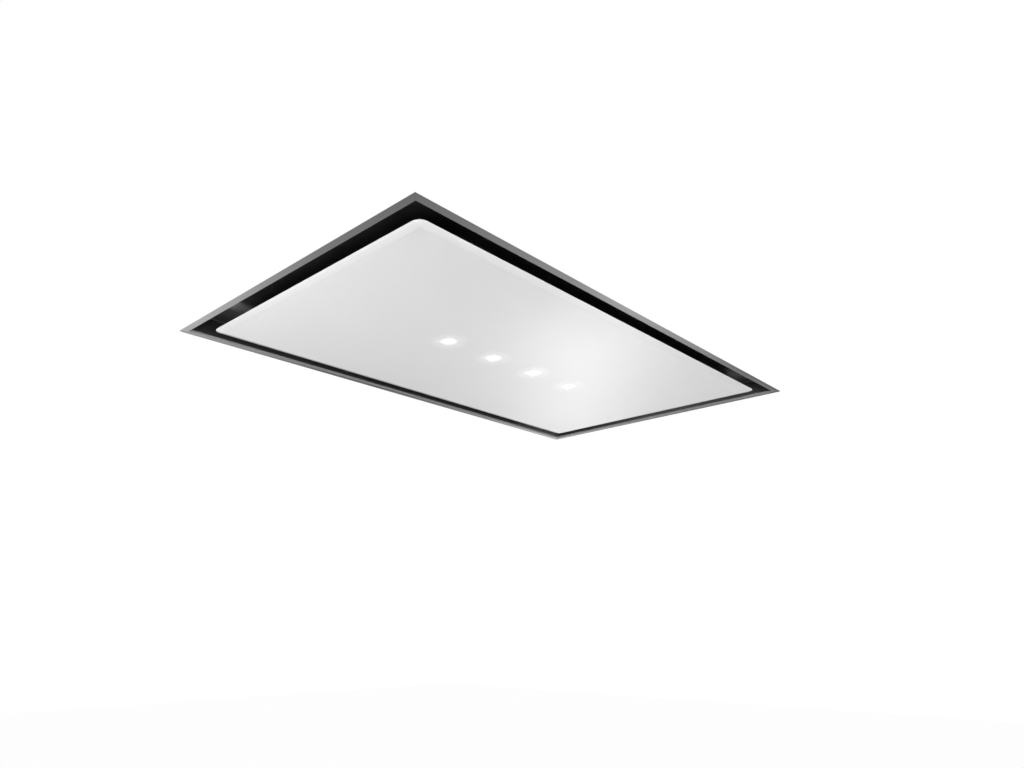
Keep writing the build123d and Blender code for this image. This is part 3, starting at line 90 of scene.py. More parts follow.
# Name, place, target, size (a disc's, or a strip's two), watts and turn in degrees.
LAMPS = (
    ("low_front_left", (-2.05, -2.10, -0.47), (0.0, 0.0, 0.0), 1.2, 74.0, 0.0),
    ("left_pool", (-0.60, 0.06, -0.32), (-0.60, 0.06, 0.0), 0.35, 0.56, 0.0),
    ("middle_strip", (0.18, 0.0, -0.163), (0.18, 0.0, 0.0), (0.70, 0.06), 0.345, -38.0),
    ("soft_above", (-1.2, -1.6, 2.2), (0.0, 0.0, 0.15), 1.6, 45.0, 0.0),
)


# ---- Camera ----------------------------------------------------------------------------------
def add_camera():
    """Looks up at the ceiling from below the hood's near corner."""
    rise, turn = math.radians(CAMERA_RISE), math.radians(CAMERA_TURN)
    data = bpy.data.cameras.new("camera")
    data.sensor_width = 36.0
    data.lens = CAMERA_LENS
    data.shift_x = CAMERA_SHIFT
    data.clip_start, data.clip_end = 0.02, 100.0
    camera = bpy.data.objects.new("camera", data)
    scene.collection.objects.link(camera)
    camera.location = CAMERA_PLACE
    level = math.cos(rise)
    forward = Vector((level * math.cos(turn), level * math.sin(turn), math.sin(rise)))
    camera.rotation_mode = "QUATERNION"
    camera.rotation_quaternion = forward.to_track_quat("-Z", "Y")
    scene.camera = camera


# ---- Material nodes --------------------------------------------------------------------------
def add(tree, kind, inputs=None, **settings):
    """A node with its settings, whose inputs take numbers or other nodes' outputs."""
    node = tree.nodes.new("ShaderNode" + kind)
    for key, value in settings.items():
        setattr(node, key, value)
    for key, value in (inputs or {}).items():
        if isinstance(value, bpy.types.NodeSocket):
            tree.links.new(value, node.inputs[key])
        else:
            node.inputs[key].default_value = value
    return node


def start_finish(name, **shader_values):
    """A material whose shader has the finish's plain values."""
    material = bpy.data.materials.new(name)
    material.use_nodes = True
    shader = material.node_tree.nodes["Principled BSDF"]
    for key, value in shader_values.items():
        shader.inputs[key.replace("_", " ")].default_value = value
    return material, material.node_tree, shader


def drive(tree, shader, **outputs):
    """Links patterns to the shader's inputs, which are named with underscores for spaces."""
    for key, output in outputs.items():
        tree.links.new(output, shader.inputs[key.replace("_", " ")])


def places(tree, scale=(1.0, 1.0, 1.0), turn=(0.0, 0.0, 0.0), shift=(0.0, 0.0, 0.0)):
    """Object coordinates, stretched, turned and moved."""
    coordinates = add(tree, "TexCoord").outputs["Object"]
    return add(tree, "Mapping", {"Vector": coordinates, "Scale": scale, "Rotation": turn,
                                 "Location": shift}).outputs["Vector"]


def axes(tree):
    coordinates = add(tree, "TexCoord").outputs["Object"]
    split = add(tree, "SeparateXYZ", {"Vector": coordinates})
    return split.outputs["X"], split.outputs["Y"], split.outputs["Z"]


def noise(tree, vector, scale, detail=3.0, roughness=0.55):
    return add(tree, "TexNoise", {"Vector": vector, "Scale": scale, "Detail": detail,
                                  "Roughness": roughness}).outputs["Fac"]


def cells(tree, vector, scale, output="Color", feature="F1"):
    pattern = add(tree, "TexVoronoi", {"Vector": vector, "Scale": scale}, feature=feature)
    return pattern.outputs[output]


def calc(tree, operation, first, second=0.0):
    node = add(tree, "Math", operation=operation)
    for socket, value in zip(node.inputs, (first, second)):
        if isinstance(value, bpy.types.NodeSocket):
            tree.links.new(value, socket)
        else:
            socket.default_value = value
    return node.outputs[0]


def times(tree, first, second):
    return calc(tree, "MULTIPLY", first, second)


def size_of(tree, value):
    """The value without its sign."""
    return calc(tree, "ABSOLUTE", value)


def span(tree, value, low, high, start=0.0, end=1.0, smooth=False):
    """A value carried from one range to another and held at its ends."""
    return add(tree, "MapRange", {"Value": value, "From Min": low, "From Max": high,
                                  "To Min": start, "To Max": end}, clamp=True,
               interpolation_type="SMOOTHSTEP" if smooth else "LINEAR").outputs["Result"]


def tone(tree, factor, *stops):
    """Colours along a factor: pairs of place and colour, or of place and level for a grey."""
    ramp = add(tree, "ValToRGB", {"Fac": factor})
    elements = ramp.color_ramp.elements
    while len(elements) < len(stops):
        elements.new(0.5)
    for element, (place, colour) in zip(elements, stops):
        element.position = place
        element.color = (*(colour if isinstance(colour, tuple) else grey(colour)), 1.0)
    return ramp.outputs["Color"]


def grey(level):
    return (level, level, level)


def patch(tree, centre, half_sizes):
    """1 in the middle of a stretched place on the hood, falling softly to 0 at its edge."""
    scale = [1 / half for half in half_sizes]
    shift = [-place / half for place, half in zip(centre, half_sizes)]
    away = add(tree, "VectorMath", {0: places(tree, scale, shift=shift)}, operation="LENGTH")
    return span(tree, away.outputs["Value"], 1.0, 0.2, smooth=True)


def mix_number(tree, factor, first, second):
    return add(tree, "Mix", {0: factor, 2: first, 3: second}).outputs[0]


def mix_colour(tree, factor, first, second, blend="MIX"):
    node = add(tree, "Mix", data_type="RGBA", blend_type=blend)
    for index, value in ((0, factor), (6, first), (7, second)):
        if isinstance(value, bpy.types.NodeSocket):
            tree.links.new(value, node.inputs[index])
        elif index:
            node.inputs[index].default_value = (*value, 1.0)
        else:
            node.inputs[index].default_value = value
    return node.outputs[2]


def relief(tree, shader, height, depth, strength=1.0):
    """A bump of a real depth in metres."""
    bump = add(tree, "Bump", {"Height": height, "Distance": depth, "Strength": strength})
    drive(tree, shader, Normal=bump.outputs["Normal"])


def seen_directly(tree):
    """1 for rays from the camera, mirrors and glass, and 0 for the rest."""
    path = add(tree, "LightPath")
    direct = calc(tree, "MAXIMUM", path.outputs["Is Camera Ray"], path.outputs["Is Glossy Ray"])
    return calc(tree, "MAXIMUM", direct, path.outputs["Is Transmission Ray"])


# ---- Finishes --------------------------------------------------------------------------------
def trim_steel():
    """Stainless steel brushed along each side of the frame, with mitred corners, painted
    reflections along its sides and painted light and shade at its rims.
    """
    material, tree, shader = start_finish("trim_steel", Metallic=1.0)
    x, y, z = axes(tree)
    beyond_x = calc(tree, "SUBTRACT", size_of(tree, x), TRIM_HALF[0])
    beyond_y = calc(tree, "SUBTRACT", size_of(tree, y), TRIM_HALF[1])
    inward = times(tree, calc(tree, "MAXIMUM", beyond_x, beyond_y), -1.0)
    long_side = calc(tree, "GREATER_THAN", beyond_y, beyond_x)
    at_back = calc(tree, "GREATER_THAN", y, 0.0)
    at_right = calc(tree, "GREATER_THAN", x, 0.0)
    along_x = noise(tree, places(tree, (5.0, 1400.0, 1400.0)), 1.0, 4.0, 0.7)
    along_y = noise(tree, places(tree, (1400.0, 5.0, 1400.0)), 1.0, 4.0, 0.7)
    grain = mix_number(tree, long_side, along_y, along_x)

    # Painted reflections: the greys along each side stand in for the light the brushed steel
    # reflects.
    over_length = span(tree, x, -TRIM_HALF[0], TRIM_HALF[0])
    over_width = span(tree, y, -TRIM_HALF[1], TRIM_HALF[1])
    long_side_reflection = mix_colour(tree, at_back, tone(tree, over_length, *TRIM_REFLECTION_TONES["front"]),
                           tone(tree, over_length, *TRIM_REFLECTION_TONES["back"]))
    short_side_reflection = mix_colour(tree, at_right, tone(tree, over_width, *TRIM_REFLECTION_TONES["left"]),
                            tone(tree, over_width, *TRIM_REFLECTION_TONES["right"]))
    painted_side_reflection = mix_colour(tree, long_side, short_side_reflection, long_side_reflection)
    streaks = tone(tree, grain, (0.3, 0.88), (0.7, 1.12))
    streaked = mix_colour(tree, 1.0, painted_side_reflection, streaks, "MULTIPLY")

    # Painted light and shade: towards the right the flange's inner half is painted lighter than its
    # outer half.
    painted_inner_light = tone(tree, span(tree, inward, 0.0042, 0.0056), (0.0, 0.66), (1.0, 1.3))
    split = mix_colour(tree, 1.0, streaked, painted_inner_light, "MULTIPLY")
    edged = mix_colour(tree, span(tree, x, 0.16, 0.36), streaked, split)
    # Painted shade: a dark line along the outer rim of the back and right sides.
    far_side = mix_number(tree, long_side, at_right, at_back)
    painted_rim_shade = times(tree, far_side, calc(tree, "LESS_THAN", inward, 0.0022))
    edged = mix_colour(tree, times(tree, painted_rim_shade, 0.85), edged, grey(0.02))
    mitre_gap = size_of(tree, calc(tree, "SUBTRACT", beyond_x, beyond_y))
    mitre = span(tree, mitre_gap, 0.0003, 0.0, 0.0, 0.3)
    lip = times(tree, calc(tree, "GREATER_THAN", inward, TRIM_LIP),
                calc(tree, "LESS_THAN", z, LIP_TOP))
    mitred = mix_colour(tree, mitre, edged, grey(0.05))
    drive(tree, shader, Base_Color=mix_colour(tree, lip, mitred, grey(0.36)),
          Metallic=span(tree, lip, 0.0, 1.0, 1.0, 0.25),
          Roughness=span(tree, grain, 0.3, 0.7, 0.28, 0.42))
    relief(tree, shader, grain, 0.00002, 0.6)
    return material


def channel_black():
    """Satin black powder coat, with painted sheens on its plate and walls and a painted highlight
    along its corner.
    """
    material, tree, shader = start_finish("channel_black")
    x, y, z = axes(tree)
    peel = noise(tree, places(tree), 900.0, 2.0)
    shade = tone(tree, noise(tree, places(tree), 9.0, 3.0), (0.35, (0.023, 0.0238, 0.025)),
                 (0.7, (0.036, 0.037, 0.0385)))
    on_plate = calc(tree, "GREATER_THAN", z, PLATE_Z - 0.0006)

    # Painted reflections: soft light patches on the plate, and fainter ones on the far walls.
    back_left = patch(tree, (-0.404, 0.172, PLATE_Z), (0.052, 0.022, 0.01))
    front_right = patch(tree, (0.378, -0.214, PLATE_Z), (0.055, 0.035, 0.01))
    bright = calc(tree, "MAXIMUM", back_left, times(tree, front_right, 0.4))
    faint = calc(tree, "MAXIMUM", patch(tree, (-0.390, -0.205, PLATE_Z), (0.020, 0.035, 0.01)),
                 patch(tree, (-0.405, 0.135, PLATE_Z), (0.040, 0.010, 0.01)))
    painted_plate_sheen = calc(tree, "MAXIMUM", times(tree, bright, 0.80), times(tree, faint, 0.05))
    painted_wall_sheens = calc(tree, "MAXIMUM",
                     patch(tree, (MOUTH_HALF[0], -0.06, 0.014), (0.004, 0.26, 0.03)),
                     patch(tree, (0.400, MOUTH_HALF[1], 0.014), (0.14, 0.004, 0.03)))
    sheen = calc(tree, "MAXIMUM", times(tree, painted_plate_sheen, on_plate), times(tree, painted_wall_sheens, 0.2))
    lit = mix_colour(tree, sheen, shade, (0.34, 0.345, 0.352))

    # Painted highlight: a light line along the plate's corner with the walls.
    from_walls = [size_of(tree, calc(tree, "SUBTRACT", size_of(tree, place), half))
                  for place, half in zip((x, y), MOUTH_HALF)]
    from_wall = calc(tree, "MINIMUM", *from_walls)
    painted_corner_highlight = times(tree, on_plate, calc(tree, "LESS_THAN", from_wall, 0.0011))
    drive(tree, shader, Base_Color=mix_colour(tree, times(tree, painted_corner_highlight, 0.7), lit, grey(0.16)),
          Roughness=span(tree, noise(tree, places(tree), 40.0), 0.3, 0.7, 0.36, 0.5))
    relief(tree, shader, peel, 0.00003, 0.5)
    return material


def galvanised_sheet():
    """Hot-dipped zinc with its spangle and handling marks."""
    material, tree, shader = start_finish("galvanised_sheet", Metallic=0.92)
    wander = add(tree, "TexNoise", {"Vector": places(tree), "Scale": 60.0}).outputs["Color"]
    warped = add(tree, "VectorMath", {0: wander, 1: (0.010, 0.010, 0.010), 2: places(tree)},
                 operation="MULTIPLY_ADD").outputs[0]
    spangle = add(tree, "SeparateColor", {"Color": cells(tree, warped, 95.0)}).outputs["Red"]
    fine = noise(tree, places(tree), 700.0, 3.0)
    clouds = noise(tree, places(tree), 7.0, 4.0)
    base = tone(tree, spangle, (0.0, (0.34, 0.355, 0.37)), (0.5, (0.42, 0.435, 0.45)),
                (1.0, (0.53, 0.545, 0.56)))
    handled = span(tree, clouds, 0.45, 0.75, 0.0, 0.35)
    dullness = calc(tree, "ADD", spangle, times(tree, fine, 0.4))
    drive(tree, shader, Base_Color=mix_colour(tree, handled, base, (0.47, 0.47, 0.46)),
          Roughness=span(tree, dullness, 0.1, 1.3, 0.30, 0.52))
    relief(tree, shader, calc(tree, "ADD", times(tree, spangle, 0.5), fine), 0.00003, 0.4)
    return material


def lamp_distance(tree, x, y, power):
    """Distance in the panel's plane to the nearest lamp's middle (at a power of 2 round, above
    it squarer), and 1 along the row of lamps."""
    across = calc(tree, "SUBTRACT", LAMP_PITCH / 2, calc(tree, "PINGPONG", x, LAMP_PITCH / 2))
    total = calc(tree, "ADD", calc(tree, "POWER", across, power),
                 calc(tree, "POWER", size_of(tree, y), power))
    in_row = calc(tree, "LESS_THAN", size_of(tree, x), 2 * LAMP_PITCH)
    return calc(tree, "POWER", total, 1 / power), in_row


def lamp_share(tree, x):
    """The lamps' light, fainter at the far one."""
    return span(tree, x, 0.08, 0.12, 1.0, 0.62)


def panel_glass():
    """White glass painted on its back, with a polished edge carrying painted light and shade, and a
    painted glow (a soft halo) round each lamp.
    """
    material, tree, shader = start_finish("panel_glass", IOR=1.52, Emission_Color=WHITE)
    x, y, _ = axes(tree)
    paint = tone(tree, noise(tree, places(tree), 4.0, 2.0), (0.3, 0.765), (0.7, 0.785))
    to_edges = [calc(tree, "SUBTRACT", half, size_of(tree, place))
                for place, half in zip((x, y), PANEL_HALF)]
    to_edge = calc(tree, "MINIMUM", *to_edges)
    on_bevel = calc(tree, "LESS_THAN", to_edge, GLASS_BEVEL - 0.0002)
    from_facet = size_of(tree, calc(tree, "SUBTRACT", to_edge, GLASS_FACET))
    line = span(tree, from_facet, 0.0007, 0.0001, 0.0, 0.5)
    # Painted light and shade on the bevel: lighter at the glass's rim, darker towards the flat
    # face.
    painted_bevel_light = tone(tree, span(tree, to_edge, 0.0, GLASS_BEVEL), (0.0, 0.82), (0.1, 0.775),
                  (0.45, 0.75), (0.7, 0.715), (1.0, 0.69))
    bevel = mix_colour(tree, line, painted_bevel_light, grey(0.62))
    smear = noise(tree, places(tree, (3.0, 9.0, 1.0), (0.0, 0.0, 0.5)), 3.0, 5.0, 0.6)
    distance, in_row = lamp_distance(tree, x, y, 2.0)
    # Painted glow: the glass round each lamp emits light, though it is no lamp.
    halo = times(tree, span(tree, distance, 0.036, 0.008, smooth=True), in_row)
    drive(tree, shader, Base_Color=mix_colour(tree, on_bevel, paint, bevel),
          Roughness=span(tree, smear, 0.4, 0.8, 0.06, 0.12),
          Emission_Strength=times(tree, times(tree, halo, lamp_share(tree, x)), 0.10))
    return material


def panel_paint():
    """White powder coat on the panel's steel back."""
    material, tree, shader = start_finish("panel_paint", Roughness=0.45)
    drive(tree, shader,
          Base_Color=tone(tree, noise(tree, places(tree), 6.0), (0.3, 0.60), (0.7, 0.65)))
    relief(tree, shader, noise(tree, places(tree), 1100.0, 2.0), 0.00004, 0.5)
    return material


def lamp_frost():
    """Frosted, lit from behind, brightest in the middle, with a fine prism pattern."""
    material, tree, shader = start_finish("lamp_frost", Roughness=0.30, IOR=1.49,
                                          Emission_Color=(1.0, 0.998, 0.994, 1.0))
    x, y, _ = axes(tree)
    distance, _ = lamp_distance(tree, x, y, 2.3)
    glow = span(tree, distance, 0.0160, 0.0020, 0.085, 0.62, smooth=True)
    drive(tree, shader,
          Base_Color=tone(tree, noise(tree, places(tree), 30.0), (0.3, 0.77), (0.7, 0.79)),
          Emission_Strength=times(tree, glow, lamp_share(tree, x)))
    prisms = [calc(tree, "PINGPONG", times(tree, place, 1000.0), 0.6) for place in (x, y)]
    relief(tree, shader, calc(tree, "ADD", *prisms), 0.0003, 0.4)
    return material


def cast_aluminium():
    """Die-cast aluminium, grainy with slightly darker hollows."""
    material, tree, shader = start_finish("cast_aluminium", Metallic=0.9)
    grain = noise(tree, places(tree), 420.0, 5.0, 0.65)
    flow = noise(tree, places(tree), 28.0, 4.0)
    base = tone(tree, flow, (0.3, (0.42, 0.425, 0.43)), (0.7, (0.56, 0.565, 0.57)))
    hollows = span(tree, grain, 0.5, 0.75, 0.0, 0.4)
    drive(tree, shader, Base_Color=mix_colour(tree, hollows, base, (0.33, 0.335, 0.34)),
          Roughness=span(tree, grain, 0.3, 0.7, 0.42, 0.62))
    relief(tree, shader, grain, 0.00018, 0.6)
    return material


def filter_aluminium():
    """Rolled aluminium of the filters: fine grain with a satin, slightly greasy sheen."""
    material, tree, shader = start_finish("filter_aluminium", Metallic=1.0)
    grain = noise(tree, places(tree, (40.0, 900.0, 900.0)), 1.0, 3.0)
    patches = noise(tree, places(tree), 22.0, 3.0)
    drive(tree, shader,
          Base_Color=tone(tree, grain, (0.3, (0.52, 0.525, 0.53)), (0.7, (0.66, 0.665, 0.67))),
          Roughness=span(tree, patches, 0.35, 0.7, 0.24, 0.42))
    relief(tree, shader, grain, 0.00003, 0.4)
    return material


def board_green():
    """Solder mask over copper tracks, with bare tinned pads."""
    material, tree, shader = start_finish("board_green", Roughness=0.3, Coat_Weight=0.3,
                                          Coat_Roughness=0.15)
    flat = (1.0, 1.0, 0.0)
    tracks = cells(tree, places(tree, flat), 190.0, "Distance", "DISTANCE_TO_EDGE")
    pads = cells(tree, places(tree, flat), 150.0, "Distance")
    base = mix_colour(tree, span(tree, tracks, 0.05, 0.07), (0.03, 0.16, 0.06),
                      (0.012, 0.085, 0.035))
    drive(tree, shader,
          Base_Color=mix_colour(tree, span(tree, pads, 0.16, 0.13), base, (0.62, 0.60, 0.56)))
    relief(tree, shader, span(tree, tracks, 0.05, 0.09), 0.00004, 0.5)
    return material


def rubber_black():
    """Moulded rubber with a matt bloom."""
    material, tree, shader = start_finish("rubber_black", Roughness=0.78)
    bloom = noise(tree, places(tree), 130.0, 4.0)
    drive(tree, shader, Base_Color=tone(tree, bloom, (0.3, 0.018), (0.7, 0.034)))
    relief(tree, shader, noise(tree, places(tree), 1500.0, 2.0), 0.00005, 0.5)
    return material


def screw_steel():
    """Zinc plate with turning marks, blackened on the screws and pins down in the mouth."""
    material, tree, shader = start_finish("screw_steel", Metallic=1.0)
    marks = noise(tree, places(tree, (1.0, 1.0, 5.0)), 900.0, 3.0)
    bright = tone(tree, marks, (0.3, (0.50, 0.51, 0.52)), (0.7, (0.68, 0.69, 0.70)))
    black = tone(tree, marks, (0.3, 0.018), (0.7, 0.03))
    _, _, z = axes(tree)
    in_mouth = calc(tree, "LESS_THAN", z, PLATE_Z + 0.001)
    drive(tree, shader, Base_Color=mix_colour(tree, in_mouth, bright, black),
          Roughness=span(tree, marks, 0.3, 0.7, 0.2, 0.36))
    relief(tree, shader, marks, 0.00003, 0.4)
    return material


def hinge_steel():
    """Pressed steel, blackened and oiled, rolled along Y and worn in places."""
    material, tree, shader = start_finish("hinge_steel", Metallic=0.8)
    grain = noise(tree, places(tree, (1100.0, 30.0, 1100.0)), 1.0, 3.0)
    wear = noise(tree, places(tree), 90.0, 4.0)
    base = tone(tree, grain, (0.3, (0.020, 0.0205, 0.022)), (0.7, (0.032, 0.033, 0.035)))
    worn = span(tree, wear, 0.6, 0.8, 0.0, 0.4)
    drive(tree, shader, Base_Color=mix_colour(tree, worn, base, (0.10, 0.10, 0.105)),
          Roughness=span(tree, wear, 0.3, 0.7, 0.32, 0.48))
    relief(tree, shader, grain, 0.00003, 0.4)
    return material


def black_plastic():
    """Moulded plastic with a fine spark-eroded texture."""
    material, tree, shader = start_finish("black_plastic")
    texture = noise(tree, places(tree), 1300.0, 3.0, 0.6)
    clouds = noise(tree, places(tree), 35.0, 3.0)
    base = tone(tree, clouds, (0.3, (0.016, 0.0165, 0.017)), (0.7, (0.027, 0.0275, 0.028)))
    drive(tree, shader, Base_Color=base, Roughness=span(tree, texture, 0.3, 0.7, 0.42, 0.58))
    relief(tree, shader, texture, 0.00006, 0.6)
    return material


def wheel_plastic():
    """Glass-filled nylon: dark grey with pale flecks of fibre."""
    material, tree, shader = start_finish("wheel_plastic", Roughness=0.46)
    flecks = noise(tree, places(tree, (1.0, 1.0, 0.2)), 1600.0, 2.0)
    base = tone(tree, noise(tree, places(tree), 30.0), (0.3, (0.040, 0.041, 0.043)),
                (0.7, (0.058, 0.059, 0.061)))
    pale = span(tree, flecks, 0.62, 0.72, 0.0, 0.5)
    drive(tree, shader, Base_Color=mix_colour(tree, pale, base, (0.16, 0.16, 0.16)))
    relief(tree, shader, flecks, 0.00004, 0.5)
    return material


def stator_metal():
    """Stacked laminations with varnished copper windings between the teeth."""
    material, tree, shader = start_finish("stator_metal", Metallic=0.9, Roughness=0.38)
    x, y, z = axes(tree)
    level = add(tree, "CombineXYZ", {"X": x, "Y": y}).outputs[0]
    away = add(tree, "VectorMath", {0: level, 1: (*BLOWER_AXIS, 0.0)}, operation="DISTANCE")
    winding = span(tree, away.outputs["Value"], STATOR_TOOTH + 0.001, STATOR_TOOTH - 0.001)
    sheets = calc(tree, "PINGPONG", times(tree, z, 1000.0), 0.5)
    iron = tone(tree, sheets, (0.0, 0.12), (0.5, (0.30, 0.30, 0.31)))
    strands = noise(tree, places(tree, (1.0, 1.0, 12.0)), 240.0)
    copper = tone(tree, strands, (0.3, (0.42, 0.16, 0.06)), (0.7, (0.66, 0.29, 0.12)))
    drive(tree, shader, Base_Color=mix_colour(tree, winding, iron, copper))
    relief(tree, shader, sheets, 0.0002, 0.5)
    return material


def driver_white():
    """Off-white moulded casing."""
    material, tree, shader = start_finish("driver_white", Roughness=0.48)
    clouds = noise(tree, places(tree), 50.0)
    drive(tree, shader,
          Base_Color=tone(tree, clouds, (0.3, (0.66, 0.66, 0.64)), (0.7, (0.73, 0.73, 0.71))))
    relief(tree, shader, noise(tree, places(tree), 1200.0), 0.00005, 0.5)
    return material


FINISHES = {
    "steel_brushed": trim_steel(), "black_paint": channel_black(),
    "zinc_sheet": galvanised_sheet(), "white_glass": panel_glass(),
    "white_paint": panel_paint(), "lamp_frost": lamp_frost(),
    "cast_aluminium": cast_aluminium(), "filter_aluminium": filter_aluminium(),
    "board_green": board_green(), "rubber_black": rubber_black(),
    "screw_steel": screw_steel(), "hinge_steel": hinge_steel(),
    "black_plastic": black_plastic(), "wheel_plastic": wheel_plastic(),
    "stator_copper": stator_metal(), "driver_white": driver_white(),
}


def dress_cad_parts():
    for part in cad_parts.values():
        for index, given in enumerate(list(part.data.materials)):
            part.data.materials[index] = FINISHES[given.name.split(".")[0]]


# ---- Modelling steps -------------------------------------------------------------------------
def clear_selection():
    if bpy.context.object and bpy.context.object.mode != "OBJECT":
        bpy.ops.object.mode_set(mode="OBJECT")
    bpy.ops.object.select_all(action="DESELECT")


def take(piece):
    """Makes one piece the only selected and active one."""
    clear_selection()
    piece.select_set(True)
    bpy.context.view_layer.objects.active = piece


def named(name):
    """Names the primitive that was just added and puts its place into its mesh."""
    piece = bpy.context.object
    piece.name = piece.data.name = name
    bpy.ops.object.transform_apply(location=True, rotation=True, scale=True)
    return piece


def new_block(name, corner, opposite):
    """A block between two opposite corners."""
    clear_selection()
    low = Vector(map(min, corner, opposite))
    high = Vector(map(max, corner, opposite))
    bpy.ops.mesh.primitive_cube_add(size=1.0, location=(low + high) / 2, scale=high - low)
    return named(name)


def open_faces(piece):
    """Goes into edit mode with every face selected."""
    take(piece)
    bpy.ops.object.mode_set(mode="EDIT")
    bpy.ops.mesh.select_mode(type="FACE")
    bpy.ops.mesh.select_all(action="SELECT")


def pick_faces(piece, test):
    """Goes into edit mode with the faces selected whose centre and normal pass a test."""
    open_faces(piece)
    bpy.ops.mesh.select_all(action="DESELECT")
    leave_edit()
    for face in piece.data.polygons:
        face.select = test(face.center, face.normal)
    bpy.ops.object.mode_set(mode="EDIT")


def faces_up(_centre, normal):
    return normal.z > 0.9


def leave_edit():
    bpy.ops.object.mode_set(mode="OBJECT")


def modify(piece, kind, **settings):
    """Adds a modifier and applies it."""
    take(piece)
    modifier = piece.modifiers.new(kind.lower(), kind)
    for key, value in settings.items():
        setattr(modifier, key, value)
    bpy.ops.object.modifier_apply(modifier=modifier.name)


def soften(piece, width, segments=2):
    modify(piece, "BEVEL", width=width, segments=segments, limit_method="ANGLE",
           angle_limit=math.radians(40))


def repeat(piece, count, step):
    """Repeats a piece in a row."""
    modify(piece, "ARRAY", count=count, use_relative_offset=False, use_constant_offset=True,
           constant_offset_displace=step)


def twin_of(piece):
    twin = piece.copy()
    twin.data = piece.data.copy()
    scene.collection.objects.link(twin)
    return twin


def joined(pieces):
    """Joins pieces into the first one, with their places in its mesh."""
    clear_selection()
    for piece in pieces:
        piece.select_set(True)
    bpy.context.view_layer.objects.active = pieces[0]
    bpy.ops.object.transform_apply(location=True, rotation=True, scale=True)
    bpy.ops.object.join()
    return pieces[0]


def copies(piece, shifts):
    """Copies of a piece moved by each shift and joined into one piece with it."""
    made = [piece]
    for shift in shifts:
        made.append(twin_of(piece))
        made[-1].location = shift
    return joined(made)


def finished(piece, body, slot, *replaced):
    """Smooths a piece, gives it its finish and fixes it to its body."""
    take(piece)
    bpy.ops.object.shade_smooth_by_angle(angle=math.radians(35))
    piece.data.materials.clear()
    piece.data.materials.append(FINISHES[slot])
    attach(piece, body)
    if replaced:
        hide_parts(*replaced)


# ---- Lamps -----------------------------------------------------------------------------------
def lens_gaskets():
    """A white gasket round each lens, in the gap between it and the glass."""
    half, half_height, gap = 0.0153, 0.0028, 0.0003
    first = -1.5 * LAMP_PITCH
    gasket = new_block("lens_gaskets", (first - half, -half, -half_height),
                       (first + half, half, half_height))
    pick_faces(gasket, lambda centre, normal: abs(normal.z) > 0.9)
    bpy.ops.mesh.inset(thickness=gap, use_boundary=True)
    bpy.ops.mesh.bridge_edge_loops()
    leave_edit()
    copies(gasket, [(LAMP_PITCH * index, 0.0, 0.0) for index in (1, 2, 3)])
    # The gaskets take the glass's finish, with its painted glow round the lamps.
    finished(gasket, "panel", "white_glass")


# ---- Filters ---------------------------------------------------------------------------------
def expanded_metal(side):
    """Three layers of expanded metal in the filter's frame, each strand a slanted ribbon."""
    low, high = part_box("filter_mesh_" + side)
    name = "filter_strands_" + side
    mesh_length, mesh_width, strand, thickness, slant = 0.0156, 0.0078, 0.0011, 0.0007, 7.0
    columns = int((high.x - low.x) / mesh_length)
    rows = int((high.y - low.y) / mesh_width)
    pitch_x, pitch_y = (high.x - low.x) / columns, (high.y - low.y) / rows
    layers = []
    for level in range(3):
        z = low.z + (0.5 + level) * (high.z - low.z) / 3
        clear_selection()
        bpy.ops.mesh.primitive_circle_add(vertices=4, radius=1.0, fill_type="NGON",
                                          location=(0.0, 0.0, 0.0))
        diamond = named(name if level == 0 else name + "_layer")
        diamond.scale = (pitch_x / 2, pitch_y / 2, 1.0)
        bpy.ops.object.transform_apply(location=False, rotation=False, scale=True)
        open_faces(diamond)
        bpy.ops.mesh.inset(thickness=strand / 2)
        bpy.ops.mesh.delete(type="FACE")
        leave_edit()
        diamond.rotation_euler = (math.radians(slant if level % 2 else -slant), 0.0, 0.0)
        diamond.location = (low.x + pitch_x / 2, low.y + pitch_y / 2, z)
        bpy.ops.object.transform_apply(location=True, rotation=True, scale=True)
        modify(diamond, "SOLIDIFY", thickness=thickness, offset=0.0)
        copies(diamond, [(pitch_x / 2, pitch_y / 2, 0.0)])
        repeat(diamond, columns, (pitch_x, 0.0, 0.0))
        repeat(diamond, rows, (0.0, pitch_y, 0.0))
        for point, direction in (((high.x, 0, 0), (1, 0, 0)), ((0, high.y, 0), (0, 1, 0))):
            open_faces(diamond)
            bpy.ops.mesh.bisect(plane_co=point, plane_no=direction, clear_outer=True,
                                use_fill=True)
            leave_edit()
        layers.append(diamond)
    finished(joined(layers), "frame", "filter_aluminium", "filter_mesh_" + side)


def latch_coils(side):
    """The coil spring behind a filter's latch, built at its full length; on the hood it closes up
    as the latch slides back.
    """
    low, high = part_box("latch_spring_" + side)
    middle = (low + high) / 2
    length = high.y - low.y
    wire, wire_sides, turns, turn_steps = 0.0003, 8, 6, 20
    clear_selection()
    bpy.ops.mesh.primitive_circle_add(vertices=wire_sides, radius=wire,
                                      location=((high.x - low.x) / 2 - wire, 0.0, 0.0))
    coil = named("latch_coils_" + side)
    modify(coil, "SCREW", axis="Y", iterations=turns, screw_offset=(length - 2 * wire) / turns,
           steps=turn_steps, render_steps=turn_steps)
    open_faces(coil)
    bpy.ops.mesh.fill_holes(sides=wire_sides)
    bpy.ops.mesh.select_all(action="SELECT")
    bpy.ops.mesh.normals_make_consistent(inside=False)
    leave_edit()
    coil.location = (middle.x, low.y + wire, middle.z)
    bpy.ops.object.transform_apply(location=True, rotation=False, scale=False)
    finished(coil, "frame", "screw_steel", "latch_spring_" + side)
    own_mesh(coil)


